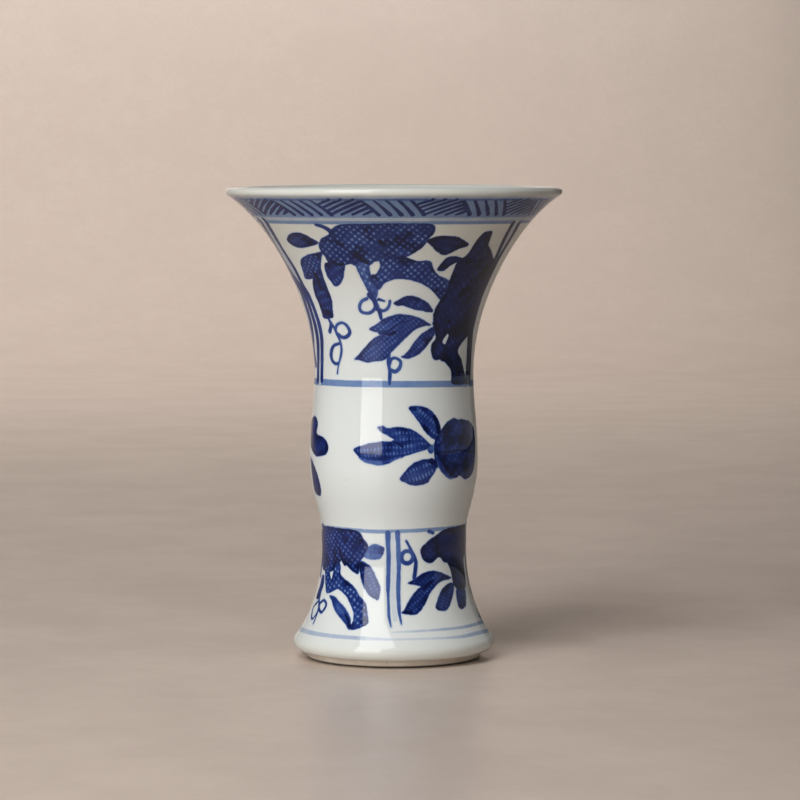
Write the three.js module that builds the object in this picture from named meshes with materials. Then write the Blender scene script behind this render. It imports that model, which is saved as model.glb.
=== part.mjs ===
// A small porcelain gu vase: three thrown sections luted together with slip, a base disc let into the
// foot, and the glaze coats that are fired over them. Millimetres, +Z up, origin under the foot ring.
import * as THREE from "three";

// Outer form, measured over the glaze
const TOTAL_HEIGHT = 131;
const RIM_RADIUS = 46.75;
const LIP_LEAN_DEG = 58;
const UPPER_JOINT_HEIGHT = 79.2;
const UPPER_JOINT_RADIUS = 22.1;
const BULB_HEIGHT = 55;
const BULB_RADIUS = 23.4;
const LOWER_JOINT_HEIGHT = 35.2;
const LOWER_JOINT_RADIUS = 20.2;
const FOOT_EDGE_RADIUS = 28.05;
const FOOT_EDGE_HEIGHT = 4.7;
const FOOT_EDGE_ROUND = 2.5;
const FOOT_LEAN_DEG = 37;

// Foot ring: the unglazed band that the vase stands on
const FOOT_RING_SETBACK = 3.65;
const FOOT_RING_DRAFT = 0.5;
const FOOT_RING_WIDTH = 4;
const GLAZE_EDGE_HEIGHT = 2.1;

// Walls, measured through the glaze on both sides
const LIP_WALL = 2.5;
const UPPER_JOINT_WALL = 3;
const LOWER_JOINT_WALL = 3.4;

// Base disc and the ledge above it
const FLOOR_HEIGHT = 9;
const BASE_THICKNESS = 3.2;
const LEDGE_WIDTH = 2.2;

// Glaze, slip and the lapped joints
const GLAZE = 0.3;
const BASE_GLAZE_EDGE_HEIGHT = 1.6;
const BOND = 0.02;
const LUTING = 0.4;
const TENON_DEPTH = 2.4;

// Fullness of each curve: the share of its rise over which an end keeps its own direction
const NECK_EASE_LOW = 0.44;
const NECK_EASE_HIGH = 0.245;
const BULB_EASE_TOP = 0.25;
const BULB_EASE_MIDDLE = 0.47;
const BULB_EASE_BOTTOM = 0.28;
const FOOT_EASE_TOP = 0.08;
const FOOT_EASE_LOW = 0.51;
const WELL_EASE = 0.45;

// Facets round the axis and along each curve
const SEGMENTS = 40;
const NECK_STEPS = 7;
const BULB_STEPS = 4;
const FOOT_STEPS = 5;
const EDGE_STEPS = 4;
const LIP_STEPS = 2;
const WELL_STEPS = 4;

// Worked out from the sizes above
const GLAZE_BED = GLAZE + BOND;
const LAND_HEIGHT = TENON_DEPTH + LUTING;
const LIP_LEAN = THREE.MathUtils.degToRad(LIP_LEAN_DEG);
const FOOT_LEAN = THREE.MathUtils.degToRad(FOOT_LEAN_DEG);
const LIP_ROUND = LIP_WALL / 2;
const LIP_CENTRE = new THREE.Vector2(RIM_RADIUS - LIP_ROUND, TOTAL_HEIGHT - LIP_ROUND);
const EDGE_CENTRE = new THREE.Vector2(FOOT_EDGE_RADIUS - FOOT_EDGE_ROUND, FOOT_EDGE_HEIGHT);
const FOOT_RING_RADIUS = FOOT_EDGE_RADIUS - FOOT_RING_SETBACK;
const SOCKET_RADIUS = FOOT_RING_RADIUS - FOOT_RING_WIDTH;
const GLAZE_EDGE = new THREE.Vector2(FOOT_RING_RADIUS + FOOT_RING_DRAFT, GLAZE_EDGE_HEIGHT);
const BASE_TOP = FLOOR_HEIGHT - GLAZE_BED;
const BASE_BOTTOM = BASE_TOP - BASE_THICKNESS;
const LEDGE_HEIGHT = BASE_TOP + LUTING;
const LEDGE_RADIUS = SOCKET_RADIUS - LEDGE_WIDTH;
const WELL_FLOOR_RADIUS = LEDGE_RADIUS - GLAZE_BED;
const WELL_TOP_RADIUS = LOWER_JOINT_RADIUS - LOWER_JOINT_WALL;

const point = (radius, height) => new THREE.Vector2(radius, height);

// A point on a circle in the radius and height plane, at an angle from the outward direction
function onCircle(centre, radius, angle) {
  return point(centre.x + radius * Math.cos(angle), centre.y + radius * Math.sin(angle));
}

// A curve between two points whose ends leave upright, each for its own share of the rise
function uprightCurve(low, high, easeLow, easeHigh) {
  const rise = high.y - low.y;
  const leave = point(low.x, low.y + easeLow * rise);
  const arrive = point(high.x, high.y - easeHigh * rise);
  return new THREE.CubicBezierCurve(low, leave, arrive, high);
}

// The neck: upright at the joint, leaning out at the lip
function neckCurve() {
  const low = point(UPPER_JOINT_RADIUS, UPPER_JOINT_HEIGHT);
  const high = onCircle(LIP_CENTRE, LIP_ROUND, -LIP_LEAN);
  const rise = high.y - low.y;
  const leave = point(low.x, low.y + NECK_EASE_LOW * rise);
  const reach = NECK_EASE_HIGH * rise;
  const arrive = point(high.x - reach * Math.sin(LIP_LEAN), high.y - reach * Math.cos(LIP_LEAN));
  return new THREE.CubicBezierCurve(low, leave, arrive, high);
}

// The two halves of the bulb, below and above its widest ring
function bulbCurves() {
  const low = point(LOWER_JOINT_RADIUS, LOWER_JOINT_HEIGHT);
  const middle = point(BULB_RADIUS, BULB_HEIGHT);
  const high = point(UPPER_JOINT_RADIUS, UPPER_JOINT_HEIGHT - LAND_HEIGHT);
  return [
    uprightCurve(low, middle, BULB_EASE_BOTTOM, BULB_EASE_MIDDLE),
    uprightCurve(middle, high, BULB_EASE_MIDDLE, BULB_EASE_TOP),
  ];
}

// The foot: from its rounded edge up to the straight land under the lower joint
function footCurve() {
  const low = onCircle(EDGE_CENTRE, FOOT_EDGE_ROUND, FOOT_LEAN);
  const high = point(LOWER_JOINT_RADIUS, LOWER_JOINT_HEIGHT - LAND_HEIGHT);
  const rise = high.y - low.y;
  const reach = FOOT_EASE_LOW * rise;
  const leave = point(low.x - reach * Math.sin(FOOT_LEAN), low.y + reach * Math.cos(FOOT_LEAN));
  const arrive = point(high.x, high.y - FOOT_EASE_TOP * rise);
  return new THREE.CubicBezierCurve(low, leave, arrive, high);
}

// The inside of the foot, on the finished glaze, from the floor up to the lower joint's land
function wellCurve() {
  const low = point(WELL_FLOOR_RADIUS, FLOOR_HEIGHT);
  const high = point(WELL_TOP_RADIUS, LOWER_JOINT_HEIGHT - LAND_HEIGHT);
  return uprightCurve(low, high, WELL_EASE, WELL_EASE);
}

// Stations along a rising curve: the point, the direction to the inside, and the wall there
function stationsAlong(curve, steps, wallLow, wallHigh) {
  const list = [];
  for (let i = 0; i <= steps; i += 1) {
    const share = i / steps;
    const tangent = curve.getTangent(share);
    list.push({
      at: curve.getPoint(share),
      inward: point(-tangent.y, tangent.x),
      wall: THREE.MathUtils.lerp(wallLow, wallHigh, share),
    });
  }
  return list;
}

// A station on an upright stretch of wall
function uprightStation(radius, height, wall) {
  return { at: point(radius, height), inward: point(-1, 0), wall };
}

// The stations moved to a depth under the outer surface
function layer(stations, depthOf) {
  return stations.map((s) => s.at.clone().addScaledVector(s.inward, depthOf(s)));
}

const onSurface = () => 0;
const underGlaze = () => GLAZE;
const bodyOutside = () => GLAZE_BED;
const bodyInside = (s) => s.wall - GLAZE_BED;
const innerGlazeBack = (s) => s.wall - GLAZE;
const innerGlazeFace = (s) => s.wall;

// Points round the lip at one radius, from one angle to another
function lipArc(radius, from, to) {
  const list = [];
  for (let i = 0; i <= LIP_STEPS; i += 1) {
    list.push(onCircle(LIP_CENTRE, radius, THREE.MathUtils.lerp(from, to, i / LIP_STEPS)));
  }
  return list;
}

const LIP_OUTSIDE = -LIP_LEAN;
const LIP_TIP = LIP_OUTSIDE + Math.PI / 2;
const LIP_INSIDE = LIP_OUTSIDE + Math.PI;

const neckStations = stationsAlong(neckCurve(), NECK_STEPS, UPPER_JOINT_WALL, LIP_WALL);
const [bulbLower, bulbUpper] = bulbCurves();
const BULB_WALL = (UPPER_JOINT_WALL + LOWER_JOINT_WALL) / 2;
const bulbStations = [
  ...stationsAlong(bulbLower, BULB_STEPS, LOWER_JOINT_WALL, BULB_WALL),
  ...stationsAlong(bulbUpper, BULB_STEPS, BULB_WALL, UPPER_JOINT_WALL).slice(1),
];
const footStations = stationsAlong(footCurve(), FOOT_STEPS, LOWER_JOINT_WALL, LOWER_JOINT_WALL);
const wellStations = stationsAlong(wellCurve(), WELL_STEPS, 0, 0);

// The angle at which a line from the glaze line touches the rounded foot edge
function footEdgeTouch() {
  const offset = GLAZE_EDGE.clone().sub(EDGE_CENTRE);
  return Math.atan2(offset.y, offset.x) + Math.acos(FOOT_EDGE_ROUND / offset.length());
}

// The rounded foot edge at a depth under its glaze, rising from the glaze line to the foot's curve
function footEdge(depth) {
  const list = [point(GLAZE_EDGE.x - depth, GLAZE_EDGE.y)];
  for (let i = 0; i < EDGE_STEPS; i += 1) {
    const angle = THREE.MathUtils.lerp(footEdgeTouch(), FOOT_LEAN, i / EDGE_STEPS);
    list.push(onCircle(EDGE_CENTRE, FOOT_EDGE_ROUND - depth, angle));
  }
  return list;
}

// The radii and heights of a lapped joint: the upper piece's tenon stands inside the lower piece's collar
function lapOf(radius, height, wall) {
  const outside = radius - GLAZE_BED;
  const inside = radius - wall + GLAZE_BED;
  const middle = (outside + inside) / 2;
  return {
    outside,
    inside,
    tenon: middle - LUTING / 2,
    collar: middle + LUTING / 2,
    shoulder: height + LUTING / 2,
    rim: height - LUTING / 2,
    tenonEnd: height + LUTING / 2 - TENON_DEPTH,
    seat: height - LUTING / 2 - TENON_DEPTH,
  };
}

const upperLap = lapOf(UPPER_JOINT_RADIUS, UPPER_JOINT_HEIGHT, UPPER_JOINT_WALL);
const lowerLap = lapOf(LOWER_JOINT_RADIUS, LOWER_JOINT_HEIGHT, LOWER_JOINT_WALL);

// The upper piece's end at a lapped joint, from its inside wall to its outside wall
function tenonEnd(lap) {
  return [
    point(lap.inside, lap.tenonEnd),
    point(lap.tenon, lap.tenonEnd),
    point(lap.tenon, lap.shoulder),
    point(lap.outside, lap.shoulder),
  ];
}

// The lower piece's end at a lapped joint, from its outside wall to its inside wall
function collarEnd(lap) {
  return [
    point(lap.outside, lap.rim),
    point(lap.collar, lap.rim),
    point(lap.collar, lap.seat),
    point(lap.inside, lap.seat),
  ];
}

// The slip between the two, with a hair's gap to the upright faces
function lutingOutline(lap) {
  const back = lap.tenon + BOND;
  const front = lap.collar - BOND;
  return [
    point(lap.inside, lap.seat),
    point(front, lap.seat),
    point(front, lap.rim),
    point(lap.outside, lap.rim),
    point(lap.outside, lap.shoulder),
    point(back, lap.shoulder),
    point(back, lap.tenonEnd),
    point(lap.inside, lap.tenonEnd),
  ];
}

function neckOutline() {
  const outer = layer(neckStations, bodyOutside).slice(1, -1);
  const inner = layer(neckStations, bodyInside).slice(1, -1).reverse();
  const lip = [
    ...lipArc(LIP_ROUND - GLAZE_BED, LIP_OUTSIDE, LIP_TIP),
    ...lipArc(LIP_ROUND - GLAZE_BED, LIP_TIP, LIP_INSIDE).slice(1),
  ];
  return [...tenonEnd(upperLap), ...outer, ...lip, ...inner];
}

function bulbOutline() {
  const outer = layer(bulbStations, bodyOutside).slice(1);
  const inner = layer(bulbStations, bodyInside).slice(1, -1).reverse();
  return [...tenonEnd(lowerLap), ...outer, ...collarEnd(upperLap), ...inner];
}

// The foot section: foot ring, rounded edge, collar, well and the ledge above the base disc
function footOutline() {
  const outer = layer(footStations, bodyOutside);
  const inner = layer(wellStations, () => -GLAZE_BED).slice(1, -1).reverse();
  return [
    point(SOCKET_RADIUS, 0),
    point(FOOT_RING_RADIUS, 0),
    ...footEdge(GLAZE_BED),
    ...outer,
    ...collarEnd(lowerLap),
    ...inner,
    point(LEDGE_RADIUS, LEDGE_HEIGHT),
    point(SOCKET_RADIUS, LEDGE_HEIGHT),
  ];
}

const BASE_RADIUS = SOCKET_RADIUS - LUTING;

// The slip round the base disc: between its edge and the foot, and between its top and the ledge
function baseLutingOutline() {
  const front = SOCKET_RADIUS - BOND;
  const back = BASE_RADIUS + BOND;
  return [
    point(back, BASE_BOTTOM),
    point(front, BASE_BOTTOM),
    point(front, LEDGE_HEIGHT),
    point(LEDGE_RADIUS, LEDGE_HEIGHT),
    point(LEDGE_RADIUS, BASE_TOP),
    point(back, BASE_TOP),
  ];
}

function baseDiscOutline() {
  return [
    point(0, BASE_BOTTOM),
    point(BASE_RADIUS, BASE_BOTTOM),
    point(BASE_RADIUS, BASE_TOP),
    point(0, BASE_TOP),
  ];
}

// The coat on the outside, from the glaze line above the foot ring to the tip of the lip
function outerGlazeOutline() {
  const shared = [
    ...footStations,
    uprightStation(LOWER_JOINT_RADIUS, LOWER_JOINT_HEIGHT, LOWER_JOINT_WALL),
    ...bulbStations.slice(1),
    uprightStation(UPPER_JOINT_RADIUS, UPPER_JOINT_HEIGHT, UPPER_JOINT_WALL),
    ...neckStations.slice(1, -1),
  ];
  const face = [...footEdge(0), ...layer(shared, onSurface), ...lipArc(LIP_ROUND, LIP_OUTSIDE, LIP_TIP)];
  const back = [
    ...footEdge(GLAZE),
    ...layer(shared, underGlaze),
    ...lipArc(LIP_ROUND - GLAZE, LIP_OUTSIDE, LIP_TIP),
  ];
  return [...face, ...back.reverse()];
}

// The coat on the inside, from the tip of the lip down the wall and across the floor
function innerGlazeOutline() {
  const upper = [
    ...bulbStations.slice(1),
    uprightStation(UPPER_JOINT_RADIUS, UPPER_JOINT_HEIGHT, UPPER_JOINT_WALL),
    ...neckStations.slice(1, -1),
  ];
  const joint = uprightStation(LOWER_JOINT_RADIUS, LOWER_JOINT_HEIGHT, LOWER_JOINT_WALL);
  const back = [
    point(0, FLOOR_HEIGHT - GLAZE),
    point(WELL_FLOOR_RADIUS + GLAZE, FLOOR_HEIGHT - GLAZE),
    ...layer(wellStations, () => -GLAZE).slice(1),
    ...layer([joint, ...upper], innerGlazeBack),
    ...lipArc(LIP_ROUND - GLAZE, LIP_TIP, LIP_INSIDE).reverse(),
  ];
  const face = [
    point(0, FLOOR_HEIGHT),
    ...layer(wellStations, onSurface),
    ...layer([joint, ...upper], innerGlazeFace),
    ...lipArc(LIP_ROUND, LIP_TIP, LIP_INSIDE).reverse(),
  ];
  return [...back, ...face.reverse()];
}

// The coat in the hollow under the base disc, turned down the inside of the foot ring
function baseGlazeOutline() {
  const top = BASE_BOTTOM - BOND;
  const edge = SOCKET_RADIUS - BOND;
  return [
    point(0, top - GLAZE),
    point(edge - GLAZE, top - GLAZE),
    point(edge - GLAZE, BASE_GLAZE_EDGE_HEIGHT),
    point(edge, BASE_GLAZE_EDGE_HEIGHT),
    point(edge, top),
    point(0, top),
  ];
}

const vase = new THREE.Group();

// Turns an outline round the vertical axis and adds it as a named piece
function addTurned(name, outline, colour, roughness) {
  const first = outline[0];
  const onAxis = first.x === 0;
  const loop = onAxis ? outline : [...outline, first.clone()];
  const geometry = new THREE.LatheGeometry(loop, SEGMENTS);
  geometry.rotateX(Math.PI / 2);
  const material = new THREE.MeshStandardMaterial({ color: colour, roughness, metalness: 0 });
  const mesh = new THREE.Mesh(geometry, material);
  mesh.name = name;
  vase.add(mesh);
}

const BISCUIT_COLOUR = 0xd9d2c4;
const SLIP_COLOUR = 0xcfc6b6;
const GLAZE_COLOUR = 0xdfe2e0;
const BISCUIT_ROUGHNESS = 0.85;
const SLIP_ROUGHNESS = 0.9;
const GLAZE_ROUGHNESS = 0.12;

addTurned("neck_section", neckOutline(), BISCUIT_COLOUR, BISCUIT_ROUGHNESS);
addTurned("bulb_section", bulbOutline(), BISCUIT_COLOUR, BISCUIT_ROUGHNESS);
addTurned("foot_section", footOutline(), BISCUIT_COLOUR, BISCUIT_ROUGHNESS);
addTurned("base_disc", baseDiscOutline(), BISCUIT_COLOUR, BISCUIT_ROUGHNESS);
addTurned("upper_luting", lutingOutline(upperLap), SLIP_COLOUR, SLIP_ROUGHNESS);
addTurned("lower_luting", lutingOutline(lowerLap), SLIP_COLOUR, SLIP_ROUGHNESS);
addTurned("base_luting", baseLutingOutline(), SLIP_COLOUR, SLIP_ROUGHNESS);
addTurned("outer_glaze", outerGlazeOutline(), GLAZE_COLOUR, GLAZE_ROUGHNESS);
addTurned("inner_glaze", innerGlazeOutline(), GLAZE_COLOUR, GLAZE_ROUGHNESS);
addTurned("base_glaze", baseGlazeOutline(), GLAZE_COLOUR, GLAZE_ROUGHNESS);

export default vase;
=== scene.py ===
# A porcelain gu vase with blue painting under its glaze, on a pale sweep in soft light from the left.
import math

import bpy
import numpy as np
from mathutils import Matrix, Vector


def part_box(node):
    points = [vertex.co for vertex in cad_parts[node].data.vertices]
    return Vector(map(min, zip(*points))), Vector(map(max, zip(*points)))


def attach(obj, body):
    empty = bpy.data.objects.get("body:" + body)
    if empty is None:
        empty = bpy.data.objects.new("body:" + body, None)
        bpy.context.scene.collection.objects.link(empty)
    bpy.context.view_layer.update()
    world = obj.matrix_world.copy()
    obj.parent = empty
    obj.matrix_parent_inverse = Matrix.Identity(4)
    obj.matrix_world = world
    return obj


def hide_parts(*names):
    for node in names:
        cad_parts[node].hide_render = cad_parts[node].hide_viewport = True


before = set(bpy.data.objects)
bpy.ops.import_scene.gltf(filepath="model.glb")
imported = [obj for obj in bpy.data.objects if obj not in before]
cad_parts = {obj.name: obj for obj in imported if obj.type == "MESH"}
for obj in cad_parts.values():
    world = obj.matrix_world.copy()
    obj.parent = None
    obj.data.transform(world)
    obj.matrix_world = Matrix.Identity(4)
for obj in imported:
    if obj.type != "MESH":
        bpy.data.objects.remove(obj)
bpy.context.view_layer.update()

MM = 0.001
TURN = 2 * math.pi

# Coats, slip and walls in millimetres, as the solids have them
GLAZE = 0.3
BOND = 0.02
GLAZE_BED = GLAZE + BOND
LUTING = 0.4
TENON_DEPTH = 2.4
LAND_HEIGHT = TENON_DEPTH + LUTING
LIP_WALL = 2.5
UPPER_JOINT_WALL = 3.0
LOWER_JOINT_WALL = 3.4
BULB_WALL = (UPPER_JOINT_WALL + LOWER_JOINT_WALL) / 2

# Form between the sizes that the solids of model.glb give
LIP_LEAN = math.radians(58)
BULB_HEIGHT = 55
FOOT_EDGE_ROUND = 2.5
FOOT_EDGE_HEIGHT = 4.7
FOOT_LEAN = math.radians(37)
FOOT_RING_SETBACK = 3.65
FOOT_RING_DRAFT = 0.5
FOOT_RING_ROUND = 1.4
LEDGE_WIDTH = 2.2
HOLLOW_ROUND = 1.4
NECK_EASE_LOW = 0.44
NECK_EASE_HIGH = 0.245
BULB_EASE_TOP = 0.25
SHOULDER_SLOPE = 0.1
BULB_EASE_MIDDLE = 0.47
BULB_EASE_BOTTOM = 0.28
FOOT_EASE_TOP = 0.08
FOOT_EASE_LOW = 0.51
WELL_EASE = 0.45

# Hand-made unevenness: how far the rim and the wall wander, and the rise over which the wall's waves turn
RIM_WARP = 0.18
RIM_WARP_FROM = 100
WALL_WANDER = 0.05
WANDER_RISE = 17
SMALL_WANDER = 0.4 * WALL_WANDER
SMALL_WANDER_RISE = 9

# Height where the finer mesh of the lip and its border begins
BORDER_FOOT = 121.0

# Mesh density: columns round the axis, the length of wall between rows, and what plain faces keep of them
LIP_COLUMNS = 1024
NECK_COLUMNS = 576
BULB_COLUMNS = 512
FOOT_COLUMNS = 512
PLAIN_COLUMNS = 256
LIP_ROW = 0.19
NECK_ROW = 0.36
BULB_ROW = 0.36
FOOT_ROW = 0.3
PLAIN_ROW = 0.7
BACK_STRIDE = 12
INNER_BACK_STRIDE = 3
FOOT_STRIDE = 3
WELL_STRIDE = 4
FLOOR_POINTS = 20
RING_POINTS = 8
EDGE_POINTS = 10
TIP_ARC = 0.1

# The photograph's camera: pixels of its frame, then millimetres and degrees
FRAME_PX = 800
FOCAL_PX = 3571
SENSOR_MM = 36
PITCH = math.radians(4.02)
CAMERA_DISTANCE = 990
CAMERA_HEIGHT = 141.27
CAMERA_ASIDE = 1.72


def span(node):
    """Lowest and highest corner of a node in millimetres."""
    low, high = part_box(node)
    return np.array(low) / MM, np.array(high) / MM


outer_low, outer_high = span("outer_glaze")
inner_low, inner_high = span("inner_glaze")
base_low, base_high = span("base_glaze")
upper_joint = span("upper_luting")[1]
lower_joint = span("lower_luting")[1]

TOTAL_HEIGHT = inner_high[2]
RIM_RADIUS = outer_high[0]
UPPER_JOINT_RADIUS = upper_joint[0] + GLAZE_BED
UPPER_JOINT_HEIGHT = upper_joint[2] - LUTING / 2
LOWER_JOINT_RADIUS = lower_joint[0] + GLAZE_BED
LOWER_JOINT_HEIGHT = lower_joint[2] - LUTING / 2
BULB_RADIUS = span("bulb_section")[1][0] + GLAZE_BED
FOOT_EDGE_RADIUS = span("foot_section")[1][0] + GLAZE_BED
GLAZE_EDGE_HEIGHT = outer_low[2]
FLOOR_HEIGHT = inner_low[2] + GLAZE
SOCKET_RADIUS = base_high[0] + BOND
LIP_ROUND = LIP_WALL / 2
LIP_CENTRE = np.array([RIM_RADIUS - LIP_ROUND, TOTAL_HEIGHT - LIP_ROUND])
EDGE_CENTRE = np.array([FOOT_EDGE_RADIUS - FOOT_EDGE_ROUND, FOOT_EDGE_HEIGHT])
FOOT_RING_RADIUS = FOOT_EDGE_RADIUS - FOOT_RING_SETBACK
GLAZE_EDGE = np.array([FOOT_RING_RADIUS + FOOT_RING_DRAFT, GLAZE_EDGE_HEIGHT])
LEDGE_RADIUS = SOCKET_RADIUS - LEDGE_WIDTH
LEDGE_HEIGHT = FLOOR_HEIGHT - GLAZE_BED + LUTING


# Curves of the section, as arrays of radius and height

def bezier(a, b, c, d, count=60):
    t = np.linspace(0, 1, count)[:, None]
    a, b, c, d = map(np.array, (a, b, c, d))
    return a * (1 - t) ** 3 + 3 * b * t * (1 - t) ** 2 + 3 * c * t ** 2 * (1 - t) + d * t ** 3


def arc(centre, radius, start, end, count=16):
    angles = np.linspace(start, end, count)
    return centre + radius * np.stack([np.cos(angles), np.sin(angles)], axis=1)


def upright_curve(low, high, ease_low, ease_high):
    """A curve whose two ends leave upright, each for its own share of the rise."""
    rise = high[1] - low[1]
    return bezier(low, (low[0], low[1] + ease_low * rise), (high[0], high[1] - ease_high * rise), high)


def neck_curve():
    low = (UPPER_JOINT_RADIUS, UPPER_JOINT_HEIGHT)
    high = arc(LIP_CENTRE, LIP_ROUND, -LIP_LEAN, 0, 2)[0]
    rise = high[1] - low[1]
    reach = NECK_EASE_HIGH * rise
    arrive = (high[0] - reach * math.sin(LIP_LEAN), high[1] - reach * math.cos(LIP_LEAN))
    return bezier(low, (low[0], low[1] + NECK_EASE_LOW * rise), arrive, high)


def bulb_curves():
    low = (LOWER_JOINT_RADIUS, LOWER_JOINT_HEIGHT)
    middle = (BULB_RADIUS, BULB_HEIGHT)
    high = (UPPER_JOINT_RADIUS + SHOULDER_SLOPE, UPPER_JOINT_HEIGHT - LAND_HEIGHT)
    lower = upright_curve(low, middle, BULB_EASE_BOTTOM, BULB_EASE_MIDDLE)
    upper = upright_curve(middle, high, BULB_EASE_MIDDLE, BULB_EASE_TOP)
    return lower, upper


def foot_curve():
    low = arc(EDGE_CENTRE, FOOT_EDGE_ROUND, FOOT_LEAN, 0, 2)[0]
    high = (LOWER_JOINT_RADIUS, LOWER_JOINT_HEIGHT - LAND_HEIGHT)
    rise = high[1] - low[1]
    reach = FOOT_EASE_LOW * rise
    leave = (low[0] - reach * math.sin(FOOT_LEAN), low[1] + reach * math.cos(FOOT_LEAN))
    return bezier(low, leave, (high[0], high[1] - FOOT_EASE_TOP * rise), high)


def edge_touch():
    """The angle at which a line from the glaze edge touches the rounded foot edge."""
    offset = GLAZE_EDGE - EDGE_CENTRE
    return math.atan2(offset[1], offset[0]) + math.acos(FOOT_EDGE_ROUND / np.linalg.norm(offset))


def well_curve():
    low = (LEDGE_RADIUS - GLAZE_BED, FLOOR_HEIGHT)
    high = (LOWER_JOINT_RADIUS - LOWER_JOINT_WALL, LOWER_JOINT_HEIGHT - LAND_HEIGHT)
    return upright_curve(low, high, WELL_EASE, WELL_EASE)


def inward(curve):
    """Unit directions from a rising curve towards the inside of the wall."""
    along = np.gradient(curve, axis=0)
    along /= np.linalg.norm(along, axis=1)[:, None]
    return np.stack([-along[:, 1], along[:, 0]], axis=1)


def sunk(curve, depth_start, depth_end):
    """A rising curve moved inward by a depth that changes evenly along it."""
    depth = np.linspace(depth_start, depth_end, len(curve))[:, None]
    return curve + inward(curve) * depth


def lengths(points):
    """Length of the outline up to each of its points."""
    steps = np.linalg.norm(np.diff(points, axis=0), axis=1)
    return np.concatenate([[0], np.cumsum(steps)])


def even_rows(points, row):
    """The same outline with rows about one row length apart."""
    along = lengths(points)
    count = max(2, int(along[-1] / row))
    stations = np.linspace(0, along[-1], count)
    return np.stack([np.interp(stations, along, points[:, i]) for i in range(2)], axis=1)


LIP_TIP = -LIP_LEAN + math.pi / 2
FOOT_TURN = edge_touch()
neck_line = neck_curve()
bulb_lower, bulb_upper = bulb_curves()
foot_line = foot_curve()
well_line = well_curve()

foot_face = np.concatenate([
    [GLAZE_EDGE],
    arc(EDGE_CENTRE, FOOT_EDGE_ROUND, FOOT_TURN, FOOT_LEAN),
    foot_line[1:],
    [[LOWER_JOINT_RADIUS, LOWER_JOINT_HEIGHT]],
])
bulb_face = np.concatenate([bulb_lower, bulb_upper[1:], [[UPPER_JOINT_RADIUS, UPPER_JOINT_HEIGHT]]])
neck_face = np.concatenate([neck_line, arc(LIP_CENTRE, LIP_ROUND, -LIP_LEAN, LIP_TIP)[1:]])

# The whole outside, from the glaze line above the foot ring to the tip of the lip
outside = np.concatenate([foot_face, bulb_face[1:], neck_face[1:]])
outside_length = lengths(outside)


def radius_at(height):
    return np.interp(height, outside[:, 1], outside[:, 0])


def length_at(height):
    return np.interp(height, outside[:, 1], outside_length)


# Where a pixel of the photograph lies on the wall: column of the axis, limit near the limbs, rounds of search
AXIS_PX = 393
LIMB = math.sin(math.radians(86))
WALL_ROUNDS = 8


def on_wall(x_px, y_px):
    """Angle round the axis, from the front towards the right, and length up the wall."""
    across = (x_px - FRAME_PX / 2) / FOCAL_PX
    down = math.tan(PITCH + math.atan((y_px - FRAME_PX / 2) / FOCAL_PX))
    along_axis = math.cos(PITCH) + down * math.sin(PITCH)
    depth = CAMERA_DISTANCE
    for _ in range(WALL_ROUNDS):
        height = CAMERA_HEIGHT - depth * down
        radius = radius_at(height)
        aside = CAMERA_ASIDE + across * depth * along_axis
        angle = math.asin(min(LIMB, max(-LIMB, aside / radius)))
        depth = CAMERA_DISTANCE - radius * math.cos(angle)
    return angle, float(length_at(height))


def wall_place(x_px, y_px):
    """Where a pixel of the photograph lies on the outside, in metres."""
    angle, length = on_wall(x_px, y_px)
    radius = np.interp(length, outside_length, outside[:, 0])
    height = np.interp(length, outside_length, outside[:, 1])
    return radius * math.sin(angle) * MM, -radius * math.cos(angle) * MM, height * MM


# What the brush lays: blots are closed outlines with hatching, strokes are open paths
STROKE_TONE = 0.7
CURVE_STEPS = 5
FADE_STEPS = 3


def smooth_path(points, closed, steps):
    """A curve through given points."""
    points = np.array(points, float)
    count = len(points)
    if closed:
        knots = [points[(i - 1) % count] for i in range(count + 3)]
    else:
        knots = [points[0], *points, points[-1]]
    t = np.linspace(0, 1, steps, endpoint=False)[:, None]
    curve = []
    for i in range(len(knots) - 3):
        a, b, c, d = knots[i:i + 4]
        curve.append(b + 0.5 * t * (c - a + t * (2 * a - 5 * b + 4 * c - d + t * (3 * (b - c) + d - a))))
    if not closed:
        curve.append(points[-1:])
    return np.concatenate(curve)


def wall_path(points_px, closed=False):
    """A smooth path through pixels, as angles and lengths on the wall."""
    return [on_wall(x, y) for x, y in smooth_path(points_px, closed, CURVE_STEPS)]


def brushed(path, widths, tone, kind):
    return {"kind": kind, "path": np.array(path), "width": widths, "tone": tone}


def blot(outline_px, tone, spacing, slant, contrast, stretch=1.0):
    """A washed shape: its outline in pixels and its tone, then the spacing of its hatching in mm, the slant
    in degrees, the contrast, and how much longer than wide the pale gaps are."""
    return {"kind": "blot", "path": np.array(wall_path(outline_px, True)), "tone": tone, "spacing": spacing,
            "slant": slant, "contrast": contrast, "stretch": stretch}


def stroke(path_px, start_width, end_width, tone=STROKE_TONE, kind="stroke"):
    """A single pull of the brush through pixels, with its width in mm at the start and at the end."""
    return brushed(wall_path(path_px), (start_width, end_width), tone, kind)


def strokes(rows):
    return [stroke(*row) for row in rows]


def panel(blots, lines):
    return [blot(*row) for row in blots] + strokes(lines)


def ring(path_px, width, tone, kind="tint"):
    """A line all round the vase through pixels of its front; it runs level behind the limbs."""
    path = wall_path(path_px)
    back = (path[0][1] + path[-1][1]) / 2
    return brushed([(-math.pi, back), *path, (math.pi, back)], (width, width), tone, kind)


def fading_line(path_px, widths, tones):
    """A thin line through pixels whose width in mm and tone change in small steps from end to end."""
    path = smooth_path(path_px, False, FADE_STEPS)
    stretches = len(path) - 1
    width = np.linspace(*widths, stretches + 1)
    tone = np.linspace(*tones, stretches)
    return [stroke(path[i:i + 2], width[i], width[i + 1], tone[i], "tint") for i in range(stretches)]


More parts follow.
